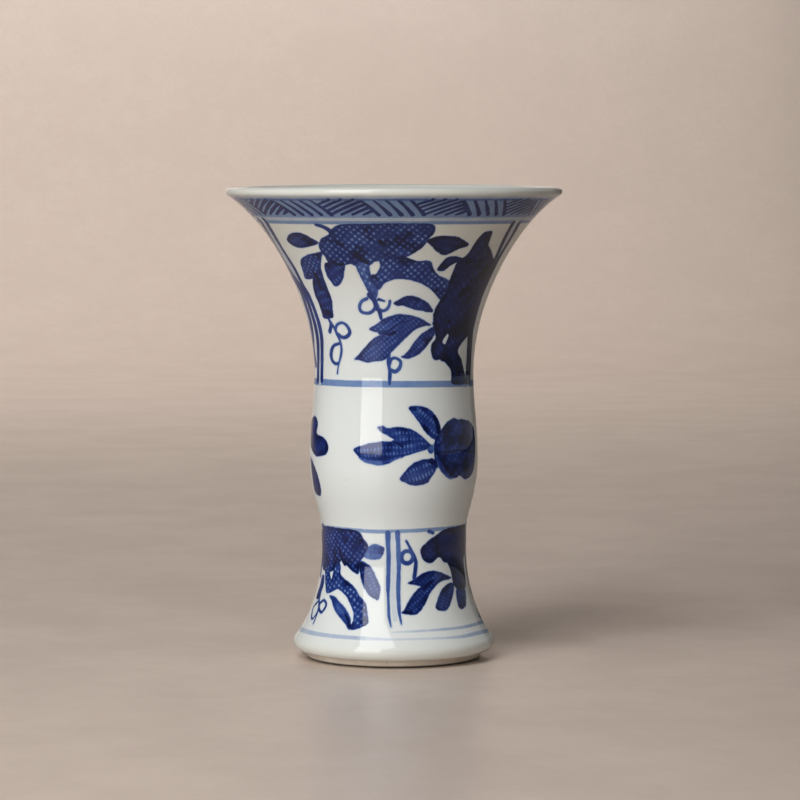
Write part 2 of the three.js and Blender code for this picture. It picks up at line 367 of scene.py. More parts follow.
def band(top_px, bottom_px, tone):
    """A thin wash or a band of painted shade all round between two pixel rows of the front."""
    top = on_wall(AXIS_PX, top_px)[1]
    bottom = on_wall(AXIS_PX, bottom_px)[1]
    middle = (top + bottom) / 2
    return brushed([(-math.pi, middle), (math.pi, middle)], (top - bottom, top - bottom), tone, "tint")


def turned(shapes, turn_degrees, spread):
    """The same shapes further round the axis and spread wider there."""
    shift = [math.radians(turn_degrees), 0]
    return [{**shape, "path": shape["path"] * [spread, 1] + shift} for shape in shapes]


# The neck's panel, by pixels of the photograph
BUD_LEAF = [
    (286.6, 239.5), (289.4, 234.2), (296, 232.3), (303, 233.7), (310.5, 237.6), (318.5, 242.8),
    (312.4, 245.7), (304.7, 247.6), (298, 247.6), (291.4, 244.7),
]
BLOSSOM = [
    (318.6, 246), (321, 239), (328, 235), (331, 230), (336, 226), (346, 224), (362, 224), (382, 223.5),
    (405, 223.5), (432, 224.2), (434.4, 232.5), (428, 240), (423, 247), (413.5, 253.5), (402, 258.5),
    (388, 258), (380, 261), (374, 262), (369, 266), (356, 266), (350, 264), (343, 266), (334, 266),
    (328, 262), (324.5, 256), (321.5, 252),
]
LEFT_LOBE = [
    (322, 252), (315, 253.2), (308.6, 254.3), (302, 258), (300.4, 263), (302.8, 271.5), (304.7, 278.2),
    (309, 279.2), (316, 277.5), (320.5, 270), (321, 261),
]
LONG_LEAF = [
    (314, 274), (312.5, 283), (315, 295), (318.5, 303), (321.5, 312), (323.5, 318), (330, 318.5),
    (333, 316.5), (332.5, 308), (331.8, 300), (327, 287), (323, 276), (320, 268),
]
OVAL_LEAF = [
    (325.3, 263), (326.3, 274.4), (330.6, 281.1), (335, 286.4), (339.2, 285), (342.5, 280.1), (344, 273.4),
    (343.5, 263),
]
STEM = [
    (355, 262), (358, 272), (364, 284), (370, 295), (376, 299), (378, 291), (374, 281), (370, 272),
    (368, 262),
]
BRANCH = [
    (380, 256), (404, 257), (417, 261), (427, 260.5), (431.5, 262.5), (433, 268), (439, 275.5), (448, 280),
    (450, 290), (441, 300), (434, 292.5), (427, 286.8), (416.5, 282), (404, 279.2), (394.5, 279.6),
    (385.5, 283), (379, 290), (372, 287), (371, 275), (376, 274), (380, 266),
]
HIGH_LEAF = [
    (427.1, 241.4), (432.8, 237.8), (440.5, 236.3), (449.1, 236), (457.7, 237.1), (464.4, 240.7),
    (468.3, 245.2), (458.7, 249.1), (452, 252.4), (446.2, 255.1), (441.5, 254.5), (436.2, 251),
    (431.9, 246.7),
]
SMALL_LEAF = [
    (437, 269.5), (442.4, 262), (448, 257.2), (454, 256.2), (460, 257.2), (462, 260), (456, 263),
    (450, 265.8), (444.3, 270.6), (440.5, 271.5),
]
ROCK = [
    (492, 231.4), (484.5, 232.3), (477, 240), (472, 247.6), (467.3, 254.3), (461.5, 259), (456, 264),
    (453, 271.5), (450, 279.2), (446, 287), (442, 296), (438, 304), (434.6, 310.4), (433, 318), (436, 328),
    (446, 333), (448.5, 336), (445.5, 343.5), (444, 350), (440, 359.2), (445.2, 362.4), (449.4, 368),
    (451.5, 374.3), (452, 384), (466, 384), (465.5, 377.8), (463.4, 368.7), (461.3, 359.6), (458, 353),
    (458.5, 348.3), (462, 342.7), (467.6, 335.7), (470, 328.7), (473.2, 316), (476, 304), (479, 295),
    (485.4, 286.8), (489.3, 276.3), (493.5, 262), (491.2, 251.4), (488.3, 244.7), (490.2, 239),
]
ROCK_SIDE = [
    (432.5, 322), (434.5, 330), (435.5, 338), (431.8, 344), (431.2, 352), (433, 358.5), (438, 360),
    (445, 356), (447, 346), (442.8, 343.2), (443.6, 338.5), (446.6, 334.5), (447, 328), (440, 320),
]
FIRST_LEAF = [
    (393.6, 303.1), (399.6, 299.2), (406.6, 296.1), (413.6, 296.1), (420.6, 298.5), (427.6, 302.7),
    (431.1, 306.9), (433, 311.5), (428.3, 312.2), (422.7, 311.1), (415.7, 310.1), (410, 308.3),
    (403, 305.5), (397.5, 305.9),
]
TWIN_LEAF = [
    (369, 329), (376.5, 324), (383, 319), (390.5, 316), (399.5, 314), (410, 315), (418.5, 317.5),
    (425.5, 321), (431, 325), (426, 326), (419, 328), (413, 331.5), (407, 337), (399.5, 344.5), (392, 352),
    (388, 357), (384, 360), (376, 361.5), (367, 362.5), (360, 360.5), (354, 359.5), (359, 354), (365, 347),
    (373.5, 338.5), (382, 333.5), (374, 332),
]
THIRD_LEAF = [
    (434, 326.6), (428.3, 329.4), (422, 333.6), (417, 338.5), (412.2, 344.8), (408, 351.1), (404.5, 354.7),
    (401, 356.8), (404.5, 358.5), (410, 358.5), (417, 355.4), (423.4, 350.4), (428.3, 344.1),
    (432.5, 338.5), (434.6, 333),
]

# The bulb's spray and the leaves at its far side
TOP_LEAF = [
    (408.7, 407.9), (413.9, 405.8), (422.5, 406.2), (429.4, 409.2), (434.5, 413.9), (438, 420),
    (439.7, 426), (441, 434), (437, 439), (432.8, 438.9), (427.6, 434.6), (423.3, 429.4), (419, 422.5),
    (413.9, 415.7),
]
FORKED_LEAF = [
    (377, 427), (383, 426), (388, 428), (397, 427), (405, 427.5), (414, 430.5), (422.5, 436.5),
    (429.5, 443.5), (432, 446.5), (425, 450), (416.5, 452.7), (407, 455.5), (397, 458.2), (388, 461.2),
    (379.5, 462), (369.5, 461.2), (362.5, 459.2), (358, 456), (353.5, 449), (361.5, 445.7), (371, 443),
    (382, 441.5), (394, 440.5), (388, 436), (381, 432),
]
FORKED_LEAF_EDGE = [
    (404, 456.7), (396.5, 459.7), (388, 464), (379.5, 465.5), (369, 464), (362, 461), (358, 457),
    (364, 458), (371, 459.2), (379.5, 459.9), (388, 459.2), (396, 457),
]
LOW_LEAF = [
    (399.7, 479.4), (403.5, 473.3), (408.7, 467.3), (413.9, 463), (420.8, 460), (427.6, 459.1),
    (433.5, 458.7), (437, 464), (435.4, 471.6), (431, 477.6), (427.6, 482.8), (419, 485.4), (412.2, 485.4),
    (405.3, 482.8),
]
FLOWER = [
    (433.8, 447), (435, 440), (438, 433.7), (441.4, 429.4), (445, 424.3), (450, 420), (454.3, 417.8),
    (457.8, 419.5), (461.2, 418.8), (465.5, 420), (469.8, 421.7), (473.5, 428), (475, 440), (475, 455),
    (473.5, 470), (469, 477.6), (464.7, 478.9), (459.5, 475.5), (457, 477.6), (453, 478.2), (449, 474.5),
    (444.5, 468.5), (441, 462), (437, 456),
]
PETAL = [
    (436.2, 455.5), (441, 461), (444.8, 467.5), (449.2, 474), (453.5, 478.6), (449.5, 479), (444, 475),
    (439.8, 469.5), (436.8, 463.5),
]
CALYX = [(427.2, 446.4), (430, 444.6), (433.2, 445.2), (434, 449.6), (432.5, 453.6), (428.6, 452.6)]
FAR_BUD = [
    (314.3, 416), (311.5, 421), (310.8, 432), (310.8, 444), (312.5, 451), (316, 456), (320, 456),
    (326, 454.5), (328.3, 449), (327, 442), (323, 437), (317, 433.5), (318, 425), (316.8, 418),
]
FAR_LEAF = [
    (310.8, 457), (311.5, 468), (312.8, 480), (314.5, 490), (317, 494.5), (320.6, 495.5), (320.8, 488),
    (318, 476), (314.5, 466),
]

# The foot's two panels
FOOT_BLOSSOM = [
    (322.8, 527.5), (339, 528), (353, 529.5), (360, 532.5), (363.8, 539), (367.8, 544.5), (367.8, 551),
    (363, 558), (360, 563), (358.5, 574), (351, 570), (346.2, 564.4), (342, 560.5), (337, 566),
    (332.5, 571), (328, 571.5), (322.6, 568), (322.4, 550),
]
FOOT_BRANCH = [
    (324.8, 562), (325, 570.8), (325.5, 586.8), (327, 593.5), (333.5, 590.8), (337.5, 589.2),
    (342.3, 592.4), (347, 598), (351, 606), (353.4, 614.7), (352, 622.7), (348, 629), (355, 629.5),
    (362.2, 627), (367.8, 623.5), (367.8, 614.7), (365.4, 602.7), (360.6, 597.1), (355.8, 589.2),
    (351, 583.6), (344.7, 578.8), (340.7, 574), (340.7, 566), (338, 561), (334.5, 564), (333, 573),
    (331.2, 579.6), (329.8, 571.6), (329, 563),
]
EDGE_LEAF = [
    (321.9, 575.6), (324.3, 575.6), (323.9, 583.6), (321.5, 591.6), (319.5, 598.7), (316.3, 597.9),
    (317.9, 591.6), (320.3, 583.6),
]
SLIM_LEAF = [
    (329.5, 595.5), (334.3, 596.3), (340, 602), (345.5, 608.3), (349.4, 615.5), (351, 621), (349, 630),
    (345, 624), (341, 619), (336.7, 614), (333.5, 607.5), (331.5, 601),
]
SIDE_LEAF = [
    (365, 551), (370.2, 545.3), (375.8, 544), (381.3, 546), (384.5, 549.3), (381.3, 558), (376.6, 559.7),
    (370.2, 559.7), (364, 557),
]
DROP_LEAF = [
    (359.5, 561), (369.4, 565.2), (374.2, 572.4), (378.1, 581.2), (380.5, 589.2), (378.3, 599.5),
    (374.2, 598.7), (368.6, 594.7), (363.8, 586.8), (360.5, 577),
]
ARCH_LEAF = [
    (407.5, 583.2), (415, 578.8), (421.5, 574), (431, 570.8), (439, 571.6), (446.2, 574.8), (452, 578),
    (443.8, 580.4), (437.4, 584.3), (432.6, 590), (427.8, 598), (424.6, 605), (420, 611.5), (414, 615),
    (401.5, 613.4), (404.7, 609), (408, 602), (412, 595.5), (417.5, 589), (420.7, 586.7), (414.3, 585),
]
HANGING_LEAF = [
    (435.8, 608.3), (437.4, 599.5), (440.6, 591.5), (446.2, 585), (451, 582.5), (454, 585), (453.3, 593),
    (451, 602), (447.8, 609), (442.2, 611),
]
LIMB_LEAF = [
    (456.5, 589), (456.8, 600), (458.5, 606.5), (461.5, 609), (465.5, 606), (466, 598), (464.5, 588),
]
FOOT_ROCK = [
    (420.7, 549.3), (427.8, 541.3), (436, 535.5), (444, 529.5), (458, 526), (465.5, 526), (465.5, 545),
    (463.5, 560), (465, 575), (465, 588), (457, 589), (453, 582), (451, 572), (447.8, 563.6), (443.8, 562),
    (439, 557.2), (432, 562.8), (427, 562.8), (422.2, 558),
]

# Lines: path in pixels, widths in mm at its start and end, and its tone where it isn't the usual one
TENDRIL_TONE = 0.61
NECK_LINES = (
    ([(316, 225), (322, 226.6), (329, 230.4), (334, 236)], 1.0, 1.9),
    ([(370, 295), (374.5, 301), (377, 309)], 1.8, 1.2),
    ([(366.6, 298.8), (362, 301.1), (359.7, 305.7), (360.4, 310.3), (363.5, 312.6), (368.9, 313),
      (373.5, 310.3), (375.6, 305)], 1.1, 0.9, TENDRIL_TONE),
    ([(377.3, 304.9), (378.8, 308.8), (382.6, 310.9), (386.5, 309.5), (389.1, 305.7), (389.9, 301)],
     1.0, 0.85, TENDRIL_TONE),
    ([(379.4, 310.5), (381.1, 318.5)], 1.2, 1.0),
    ([(378.5, 299.4), (381, 300), (384.2, 301.1)], 0.9, 0.7),
    ([(327.6, 317), (330.5, 323), (330.6, 328), (329.7, 331.5)], 1.0, 1.3),
    ([(330.5, 322), (334, 327.5), (336.7, 333.5), (339.5, 339.5), (341.2, 346), (341.4, 352), (340.4, 358),
      (338.6, 364.5), (337.4, 373.5)], 1.0, 0.7, TENDRIL_TONE),
    ([(335.4, 329.5), (336.7, 325.2), (341.3, 322.7), (345.9, 324.8), (348.9, 329.4), (349.5, 333.3),
      (346.7, 336.7), (342.4, 337.4), (338, 334.5)], 0.9, 1.1, TENDRIL_TONE),
    ([(339.3, 343.5), (334, 345.6), (331.7, 350.1), (331, 355.5)], 0.85, 1.45),
    ([(331, 355.5), (332.2, 360.5), (335.2, 363.5), (338, 363.6)], 1.45, 0.95),
    ([(389, 353), (388.4, 363), (389.8, 372), (389.5, 384)], 1.1, 0.95, TENDRIL_TONE),
    ([(389.6, 364.5), (391.2, 359.5), (394.9, 357.9), (399, 359.8), (400.9, 363.1), (399.3, 368.4),
      (395.2, 371.6), (391, 370)], 0.9, 1.05, TENDRIL_TONE),
    ([(380, 333), (388, 331), (398, 324), (410, 320)], 1.1, 0.5, 0.85),
)
BULB_LINES = (
    ([(437, 437), (435.4, 446), (435.2, 455), (437, 467)], 1.0, 0.8, 0.86),
    ([(436, 447), (447, 440), (458, 436), (470, 436)], 1.2, 0.8, 0.9),
    ([(437, 452), (449, 452), (460, 450), (473, 452)], 1.2, 0.8, 0.9),
    ([(439, 457), (450, 463), (460, 465), (470, 466)], 1.2, 0.8, 0.9),
)
FOOT_LEFT_LINES = (
    ([(323.9, 599.9), (325.9, 602.7), (325.5, 606.7), (321.5, 612.3), (319.1, 609.1), (319.9, 603.5),
      (323.4, 600.2)], 0.9, 0.9),
    ([(317.5, 601.9), (313.2, 607.5), (311.6, 616.3), (312.8, 618.7), (317.1, 612.3), (318.7, 606.7)],
     0.9, 0.9),
    ([(319.1, 599.5), (318.7, 606.7), (316.7, 614.7), (313.2, 623.5)], 1.0, 0.8),
)
FOOT_RIGHT_LINES = (
    ([(406.3, 541), (411, 550), (415.5, 559.6), (415.5, 569), (414.3, 578)], 0.8, 1.2),
    ([(412.6, 554.5), (409.5, 551.4), (405, 551.4), (402, 554.5), (401.6, 559), (404, 562.6), (408.5, 563),
      (412, 560.4), (413, 556.5)], 1.2, 1.2, TENDRIL_TONE),
    ([(429, 531.2), (433, 533)], 1.2, 1.0, 0.6),
)

# Places where the brush rested and the blue pooled, written as lines
NECK_POOLS = (
    ([(380.5, 242), (384, 245.5)], 1.8, 1.3, 1.0),
    ([(355, 254), (360, 258.5), (367, 262)], 1.2, 1.7, 1.0),
    ([(331, 262), (339, 264.5), (343, 264)], 1.2, 1.0, 0.97),
    ([(333, 234), (335.5, 237.5)], 1.3, 1.0, 0.97),
    ([(325, 312), (330.5, 314.5)], 1.9, 2.3, 0.98),
    ([(315, 275), (318.5, 281), (320.5, 290)], 1.6, 0.9, 0.97),
    ([(383.5, 333), (389, 334.5), (394.5, 332.5)], 0.8, 1.2, 0.94),
)
BULB_POOLS = (
    ([(393, 441.5), (398, 443.5), (402.5, 446.5)], 0.7, 1.0, 0.9),
    ([(434, 416.5), (437.5, 424), (439, 432)], 1.2, 1.6, 0.95),
    ([(429.5, 461), (434.5, 463)], 1.2, 1.6, 0.95),
    ([(410.5, 408.5), (415, 409)], 1.0, 1.3, 0.9),
)
FOOT_LEFT_POOLS = (
    ([(339.5, 548), (341, 556), (345, 563.5)], 1.0, 1.5, 1.0),
    ([(345, 614), (348, 620), (349.5, 626)], 0.8, 1.3, 0.94),
    ([(361, 563.5), (367, 566.5)], 1.2, 0.9, 0.95),
)
FOOT_RIGHT_POOLS = (
    ([(424, 588.5), (427.5, 585), (432, 581)], 1.5, 0.9, 0.96),
    ([(405, 611.8), (411, 612.8)], 0.9, 1.4, 0.97),
)

# The fences between the panels, each with the thin wash behind it; the foot's also has a line at each limb
LEFT_FENCE = (
    ([(264, 219.5), (267.5, 224), (282, 248.6), (294, 268), (303, 286), (308.8, 296), (317.2, 318),
      (321, 334), (322, 349), (321.8, 380)], 2.2, 1.8, 0.74),
    ([(259.5, 220), (263, 225), (277.5, 249), (291, 272), (299.5, 285), (305.7, 296), (313, 318),
      (316.8, 334), (318.1, 349), (318, 380)], 2.6, 2.0, 0.74),
    ([(275.5, 252), (289, 271.5), (300.6, 290.7), (304.6, 302.6), (309.5, 318), (312.2, 333.2),
      (313.8, 348.5), (315.7, 363.9)], 3.4, 2.6, 0.7),
    ([(262, 220), (280, 249), (292.5, 270), (301.5, 286), (307.3, 296), (315.2, 318), (319, 334), (320, 349),
      (320, 380)], 3.4, 3.4, 0.16, "tint"),
)
RIGHT_FENCE = (
    ([(513, 223), (505.5, 236.7), (499.4, 250), (492.5, 265.5), (482.4, 290), (476.4, 307), (470, 332),
      (468.5, 350), (467, 381)], 1.8, 2.2, 0.97),
    ([(518.8, 223.5), (511.5, 236.7), (504.2, 248.8), (497, 261.5), (485, 287), (479.5, 301), (472.3, 328),
      (470, 353), (468.8, 381)], 1.9, 2.4, 0.95),
    ([(516, 223), (508.5, 236.7), (502, 250), (495, 264), (483, 290), (477.5, 307), (471, 332), (469.2, 352),
      (468, 381)], 3.4, 3.4, 0.16, "tint"),
)
FOOT_FENCE = (
    ([(387.8, 533), (388.6, 563), (388, 590), (388.4, 603), (389, 616), (391, 627)], 1.5, 0.5, 0.54),
    ([(397.6, 532.5), (398.8, 563), (398.3, 590), (398.8, 607)], 1.45, 1.15, 0.52),
    ([(398.8, 607), (399.7, 615), (401.5, 624.5)], 1.15, 0.5, 0.54),
    ([(393, 535), (393.8, 563), (393.4, 600), (395, 620)], 1.6, 1.2, 0.1, "tint"),
    ([(323.3, 527), (322.9, 545), (322, 560), (320.5, 574)], 2.4, 2.0, 0.8),
    ([(465.4, 527), (465, 547), (466.2, 567), (469.7, 587), (474.5, 601), (480, 617)], 2.6, 1.8, 0.8),
)

# Washed shapes: outline, tone, spacing of the hatching in mm, slant in degrees, contrast, stretch of its gaps
NECK_BLOTS = (
    (BUD_LEAF, 0.88, 0.95, 20, 0.3, 2.0),
    (HIGH_LEAF, 0.97, 1.0, -10, 0.2, 2.0),
    (SMALL_LEAF, 0.9, 1.0, 35, 0.15),
    (OVAL_LEAF, 0.82, 1.2, 30, 0.6, 2.0),
    (LONG_LEAF, 0.88, 1.0, 15, 0.5, 2.2),
    (FIRST_LEAF, 0.86, 0.95, 45, 0.35, 2.0),
    (TWIN_LEAF, 0.78, 0.95, 40, 0.55, 1.3),
    (THIRD_LEAF, 0.78, 0.95, 50, 0.45, 1.6),
    (LEFT_LOBE, 0.77, 1.3, 45, 0.8),
    (STEM, 0.64, 1.5, 60, 0.6),
    (BRANCH, 0.77, 1.4, 45, 0.85),
    (ROCK, 1.0, 1.6, 45, 0.25, 2.5),
    (ROCK_SIDE, 1.0, 1.6, 45, 0.25, 2.5),
    (BLOSSOM, 0.79, 1.5, 45, 0.85),
)
BULB_BLOTS = (
    (TOP_LEAF, 0.74, 1.0, -40, 0.5, 2.0),
    (FORKED_LEAF, 0.76, 1.0, 5, 0.6, 1.8),
    (FORKED_LEAF_EDGE, 0.56, 1.0, 5, 0.1, 1.8),
    (LOW_LEAF, 0.78, 1.0, 22, 0.6, 2.4),
    (CALYX, 0.5, 1.0, 0, 0.0),
    (PETAL, 0.58, 1.0, 0, 0.0),
    (FLOWER, 0.86, 1.3, 50, 0.3, 2.0),
    (FAR_BUD, 0.92, 1.15, 60, 0.3),
    (FAR_LEAF, 0.94, 1.15, -70, 0.2),
)
FOOT_LEFT_BLOTS = (
    (SIDE_LEAF, 0.52, 1.15, 0, 0.1),
    (DROP_LEAF, 0.76, 1.0, -60, 0.5, 1.6),
    (SLIM_LEAF, 0.68, 1.15, -50, 0.0),
    (EDGE_LEAF, 0.74, 1.15, 0, 0.0),
    (FOOT_BRANCH, 0.75, 1.4, 60, 0.85),
    (FOOT_BLOSSOM, 0.85, 1.3, 55, 0.7),
)
FOOT_RIGHT_BLOTS = (
    (ARCH_LEAF, 0.85, 1.0, 40, 0.45, 1.5),
    (HANGING_LEAF, 0.85, 1.0, 60, 0.4, 1.5),
    (LIMB_LEAF, 0.86, 1.15, 60, 0.3),
    (FOOT_ROCK, 0.99, 1.5, 50, 0.2),
)

# The copies at the back: their turns in degrees, and how much wider the neck's is spread
BACK_TURN = 180
FOOT_LEFT_TURN = 178
NECK_SPREAD = 1.12


def painted_shapes():
    panels = (
        (panel(NECK_BLOTS, NECK_LINES + NECK_POOLS), BACK_TURN, NECK_SPREAD),
        (panel(BULB_BLOTS, BULB_LINES + BULB_POOLS), BACK_TURN, 1),
        (panel(FOOT_LEFT_BLOTS, FOOT_LEFT_LINES + FOOT_LEFT_POOLS), FOOT_LEFT_TURN, 1),
        (panel(FOOT_RIGHT_BLOTS, FOOT_RIGHT_LINES + FOOT_RIGHT_POOLS), BACK_TURN, 1),
        (strokes(FOOT_FENCE), BACK_TURN, 1),
    )
    shapes = strokes(LEFT_FENCE + RIGHT_FENCE)
    for front, turn_degrees, spread in panels:
        shapes += front + turned(front, turn_degrees, spread)
    return shapes


# The border under the lip, in mm: groups of lines that lean left, and between them lines that lean right
BORDER_TOP_PX = 200.2
BORDER_BOTTOM_PX = 215.2
BORDER_PAIRS = 10
BORDER_LINES = 5
BORDER_LINE_STEP = 3.2
BORDER_LEFT_RUN = 4.4
BORDER_RIGHT_RUN = 11.0
BORDER_BLUNT_END = 1.45
BORDER_THIN_END = 0.9
BORDER_GAP = 0.5
BORDER_SHORTEST = 0.2
BORDER_TONE = 0.8


def border_pair(radius):
    """One group and the lines after it: ends in millimetres round and shares of the height, then widths."""
    left_run = BORDER_LEFT_RUN
    right_run = BORDER_RIGHT_RUN
    both_runs = left_run + right_run
    group = BORDER_LINE_STEP * (BORDER_LINES - 1)
    between = TURN * radius / BORDER_PAIRS - group
    lines = []
    for line in range(BORDER_LINES):
        top = line * BORDER_LINE_STEP
        lines.append((((top + left_run, 0), (top, 1)), (BORDER_BLUNT_END, BORDER_THIN_END)))
    for line in range(-BORDER_LINES, 2 * BORDER_LINES):
        foot = group + left_run + line * BORDER_LINE_STEP
        first = max(0, (group + left_run + BORDER_GAP - foot) / both_runs)
        last = min(1, (group + between + left_run - BORDER_GAP - foot) / both_runs)
        if last - first > BORDER_SHORTEST:
            ends = ((foot + first * right_run, first), (foot + last * right_run, last))
            lines.append((ends, (BORDER_THIN_END, BORDER_BLUNT_END)))
    return lines


def border_strokes():
    low = on_wall(AXIS_PX, BORDER_BOTTOM_PX)[1]
    rise = on_wall(AXIS_PX, BORDER_TOP_PX)[1] - low
    radius = np.interp(low + rise / 2, outside_length, outside[:, 0])
    half_group = (BORDER_LINE_STEP * (BORDER_LINES - 1) + BORDER_LEFT_RUN) / 2
    lines = []
    for pair in range(BORDER_PAIRS):
        shift = pair * TURN / BORDER_PAIRS - half_group / radius
        for ends, widths in border_pair(radius):
            path = [(shift + round_mm / radius, low + share * rise) for round_mm, share in ends]
            lines.append(brushed(path, widths, BORDER_TONE, "stroke"))
    return lines


# Rings and lines round the vase. The foot's line is strong at both sides and faint between them.
NECK_RING = [(316, 381.5), (345, 383.4), (393, 384.2), (440, 384), (470, 383.4)]
BULB_RING = [(325, 527), (365, 531), (393, 531.5), (440, 529), (462, 526.5)]
FOOT_LINE = [
    (296.5, 627), (310, 632.5), (335, 636.3), (365, 638.5), (391, 639.6), (432, 638.5), (453, 637.5),
    (467, 635.7), (488, 630.4),
]
FOOT_THIN_LINE = [(392, 632.4), (415, 631.3), (439, 629.7), (460, 627.6), (474, 624.6), (483, 621.5)]

# Washes and painted shade all round under the lip: pixel rows of their tops and bottoms at the front, and
# their tones
LIP_SHADE_AND_WASHES = (
    # The first five bands are painted shade under the lip, darkening downwards
    (194.9, 195.9, 0.05),
    (195.9, 196.9, 0.1),
    (196.8, 197.8, 0.17),
    (197.6, 198.6, 0.23),
    (198.4, 199.4, 0.29),
    # The border's blue wash, its tone deepened to carry the painted shade under the lip as well
    (199.2, 218.4, 0.335),
    (218.4, 221.4, 0.19),
    (221.4, 224.9, 0.335),
)
BORDER_LINE_PX = 200.4


def painted_rings():
    return [
        *[band(*wash) for wash in LIP_SHADE_AND_WASHES],
        ring([(AXIS_PX, BORDER_LINE_PX)], 1.1, 0.46, "stroke"),
        ring(NECK_RING, 1.8, 0.355),
        ring(BULB_RING, 1.1, 0.3),
        ring(FOOT_LINE, 0.6, 0.1),
        stroke(FOOT_LINE[:4], 1.4, 1.1, 0.2, "tint"),
        stroke(FOOT_LINE[3:5], 1.1, 0.7, 0.15, "tint"),
        *fading_line(FOOT_LINE[5:], (0.6, 1.3), (0.13, 0.25)),
        *fading_line(FOOT_THIN_LINE, (0.5, 1.1), (0.13, 0.27)),
    ]


# How far off unpainted points lie in millimetres, and how far round a shape its distance is worked out
FAR = 9.0
WINDOW = 1.6


class Wall:
    """A patch of the outside: rows up the wall, columns round it, and what is painted there."""

    def __init__(self, face, columns):
        self.angle = np.linspace(-math.pi, math.pi, columns, endpoint=False)
        self.length = length_at(face[:, 1])
        self.radius = face[:, 0]
        size = (len(face), columns)
        self.blot, self.stroke, self.pale = (np.full(size, FAR) for _ in range(3))
        self.blot_tone, self.stroke_tone, self.pale_tone = (np.zeros(size) for _ in range(3))
        self.hatch_across, self.hatch_along, self.contrast = (np.zeros(size) for _ in range(3))

    def window(self, path, reach):
        """Rows and columns near a path, and the path seen from each of them in millimetres."""
        low = path[:, 1].min() - reach
        high = path[:, 1].max() + reach
        rows = np.nonzero((self.length > low) & (self.length < high))[0]
        if len(rows) == 0:
            return None
        middle = (path[:, 0].min() + path[:, 0].max()) / 2
        half = (path[:, 0].max() - path[:, 0].min()) / 2 + reach / self.radius[rows].min()
        columns = np.nonzero(np.abs(wrapped(self.angle - middle)) < half)[0]
        here = wrapped(self.angle[columns] - middle)[None, :]
        radius = self.radius[rows][:, None]
        length = self.length[rows][:, None]
        seen = [(radius * (p[0] - middle - here), p[1] - length + 0 * here) for p in path]
        return np.ix_(rows, columns), seen

    def lay_blot(self, shape):
        found = self.window(shape["path"], WINDOW)
        if found is None:
            return
        cells, seen = found
        nearest = np.full(seen[0][0].shape, FAR ** 2)
        inside = np.zeros(nearest.shape, bool)
        for a, b in zip(seen, seen[1:] + seen[:1]):
            nearest = np.minimum(nearest, segment_distance(a, b)[0])
            rising = (a[1] > 0) != (b[1] > 0)
            drop = np.where(rising, b[1] - a[1], 1)
            inside ^= rising & (a[0] - a[1] * (b[0] - a[0]) / drop > 0)
        distance = np.sqrt(nearest) * np.where(inside, -1, 1)
        nearer = distance < self.blot[cells]
        centre_x = -np.mean([s[0] for s in seen], axis=0)
        centre_y = -np.mean([s[1] for s in seen], axis=0)
        slant = math.radians(shape["slant"])
        across = (centre_x * math.cos(slant) + centre_y * math.sin(slant)) / shape["spacing"]
        along = (centre_y * math.cos(slant) - centre_x * math.sin(slant)) / shape["spacing"]
        along /= shape["stretch"]
        put(self.blot, cells, nearer, distance)
        put(self.blot_tone, cells, nearer, shape["tone"])
        put(self.hatch_across, cells, nearer, across)
        put(self.hatch_along, cells, nearer, along)
        put(self.contrast, cells, nearer, shape["contrast"])

    def lay_stroke(self, shape, distances, tones):
        start, end = shape["width"]
        found = self.window(shape["path"], WINDOW + max(start, end) / 2)
        if found is None:
            return
        cells, seen = found
        count = len(seen) - 1
        distance = np.full(seen[0][0].shape, FAR)
        for i in range(count):
            squared, share = segment_distance(seen[i], seen[i + 1])
            width = start + (end - start) * (i + share) / count
            distance = np.minimum(distance, np.sqrt(squared) - width / 2)
        nearer = distance < distances[cells]
        put(distances, cells, nearer, distance)
        put(tones, cells, nearer, shape["tone"])

    def lay(self, shapes):
        for shape in shapes:
            if shape["kind"] == "blot":
                self.lay_blot(shape)
            elif shape["kind"] == "stroke":
                self.lay_stroke(shape, self.stroke, self.stroke_tone)
            else:
                self.lay_stroke(shape, self.pale, self.pale_tone)


def put(target, cells, chosen, value):
    """A new value for those of the cells that are chosen."""
    target[cells] = np.where(chosen, value, target[cells])


def wrapped(angle):
    return (angle + math.pi) % TURN - math.pi


def segment_distance(a, b):
    """Squared distance from the origin to the segment between two seen points, and the share along it."""
    step = (b[0] - a[0], b[1] - a[1])
    size = step[0] ** 2 + step[1] ** 2 + 1e-12
    share = np.clip(-(a[0] * step[0] + a[1] * step[1]) / size, 0, 1)
    return (a[0] + share * step[0]) ** 2 + (a[1] + share * step[1]) ** 2, share


# Meshes turned round the axis

SHARP_EDGE = math.radians(45)


def handmade(radius, height, angle):
    """Radius and height with the small unevenness of a thrown vase."""
    wander = WALL_WANDER * np.sin(2 * angle + height / WANDER_RISE)
    wander = wander + SMALL_WANDER * np.sin(3 * angle - height / SMALL_WANDER_RISE)
    rise = np.clip((height - RIM_WARP_FROM) / (TOTAL_HEIGHT - RIM_WARP_FROM), 0, 1)
    share = radius / RIM_RADIUS
    return radius + wander * share, height + RIM_WARP * rise ** 2 * np.cos(2 * angle)


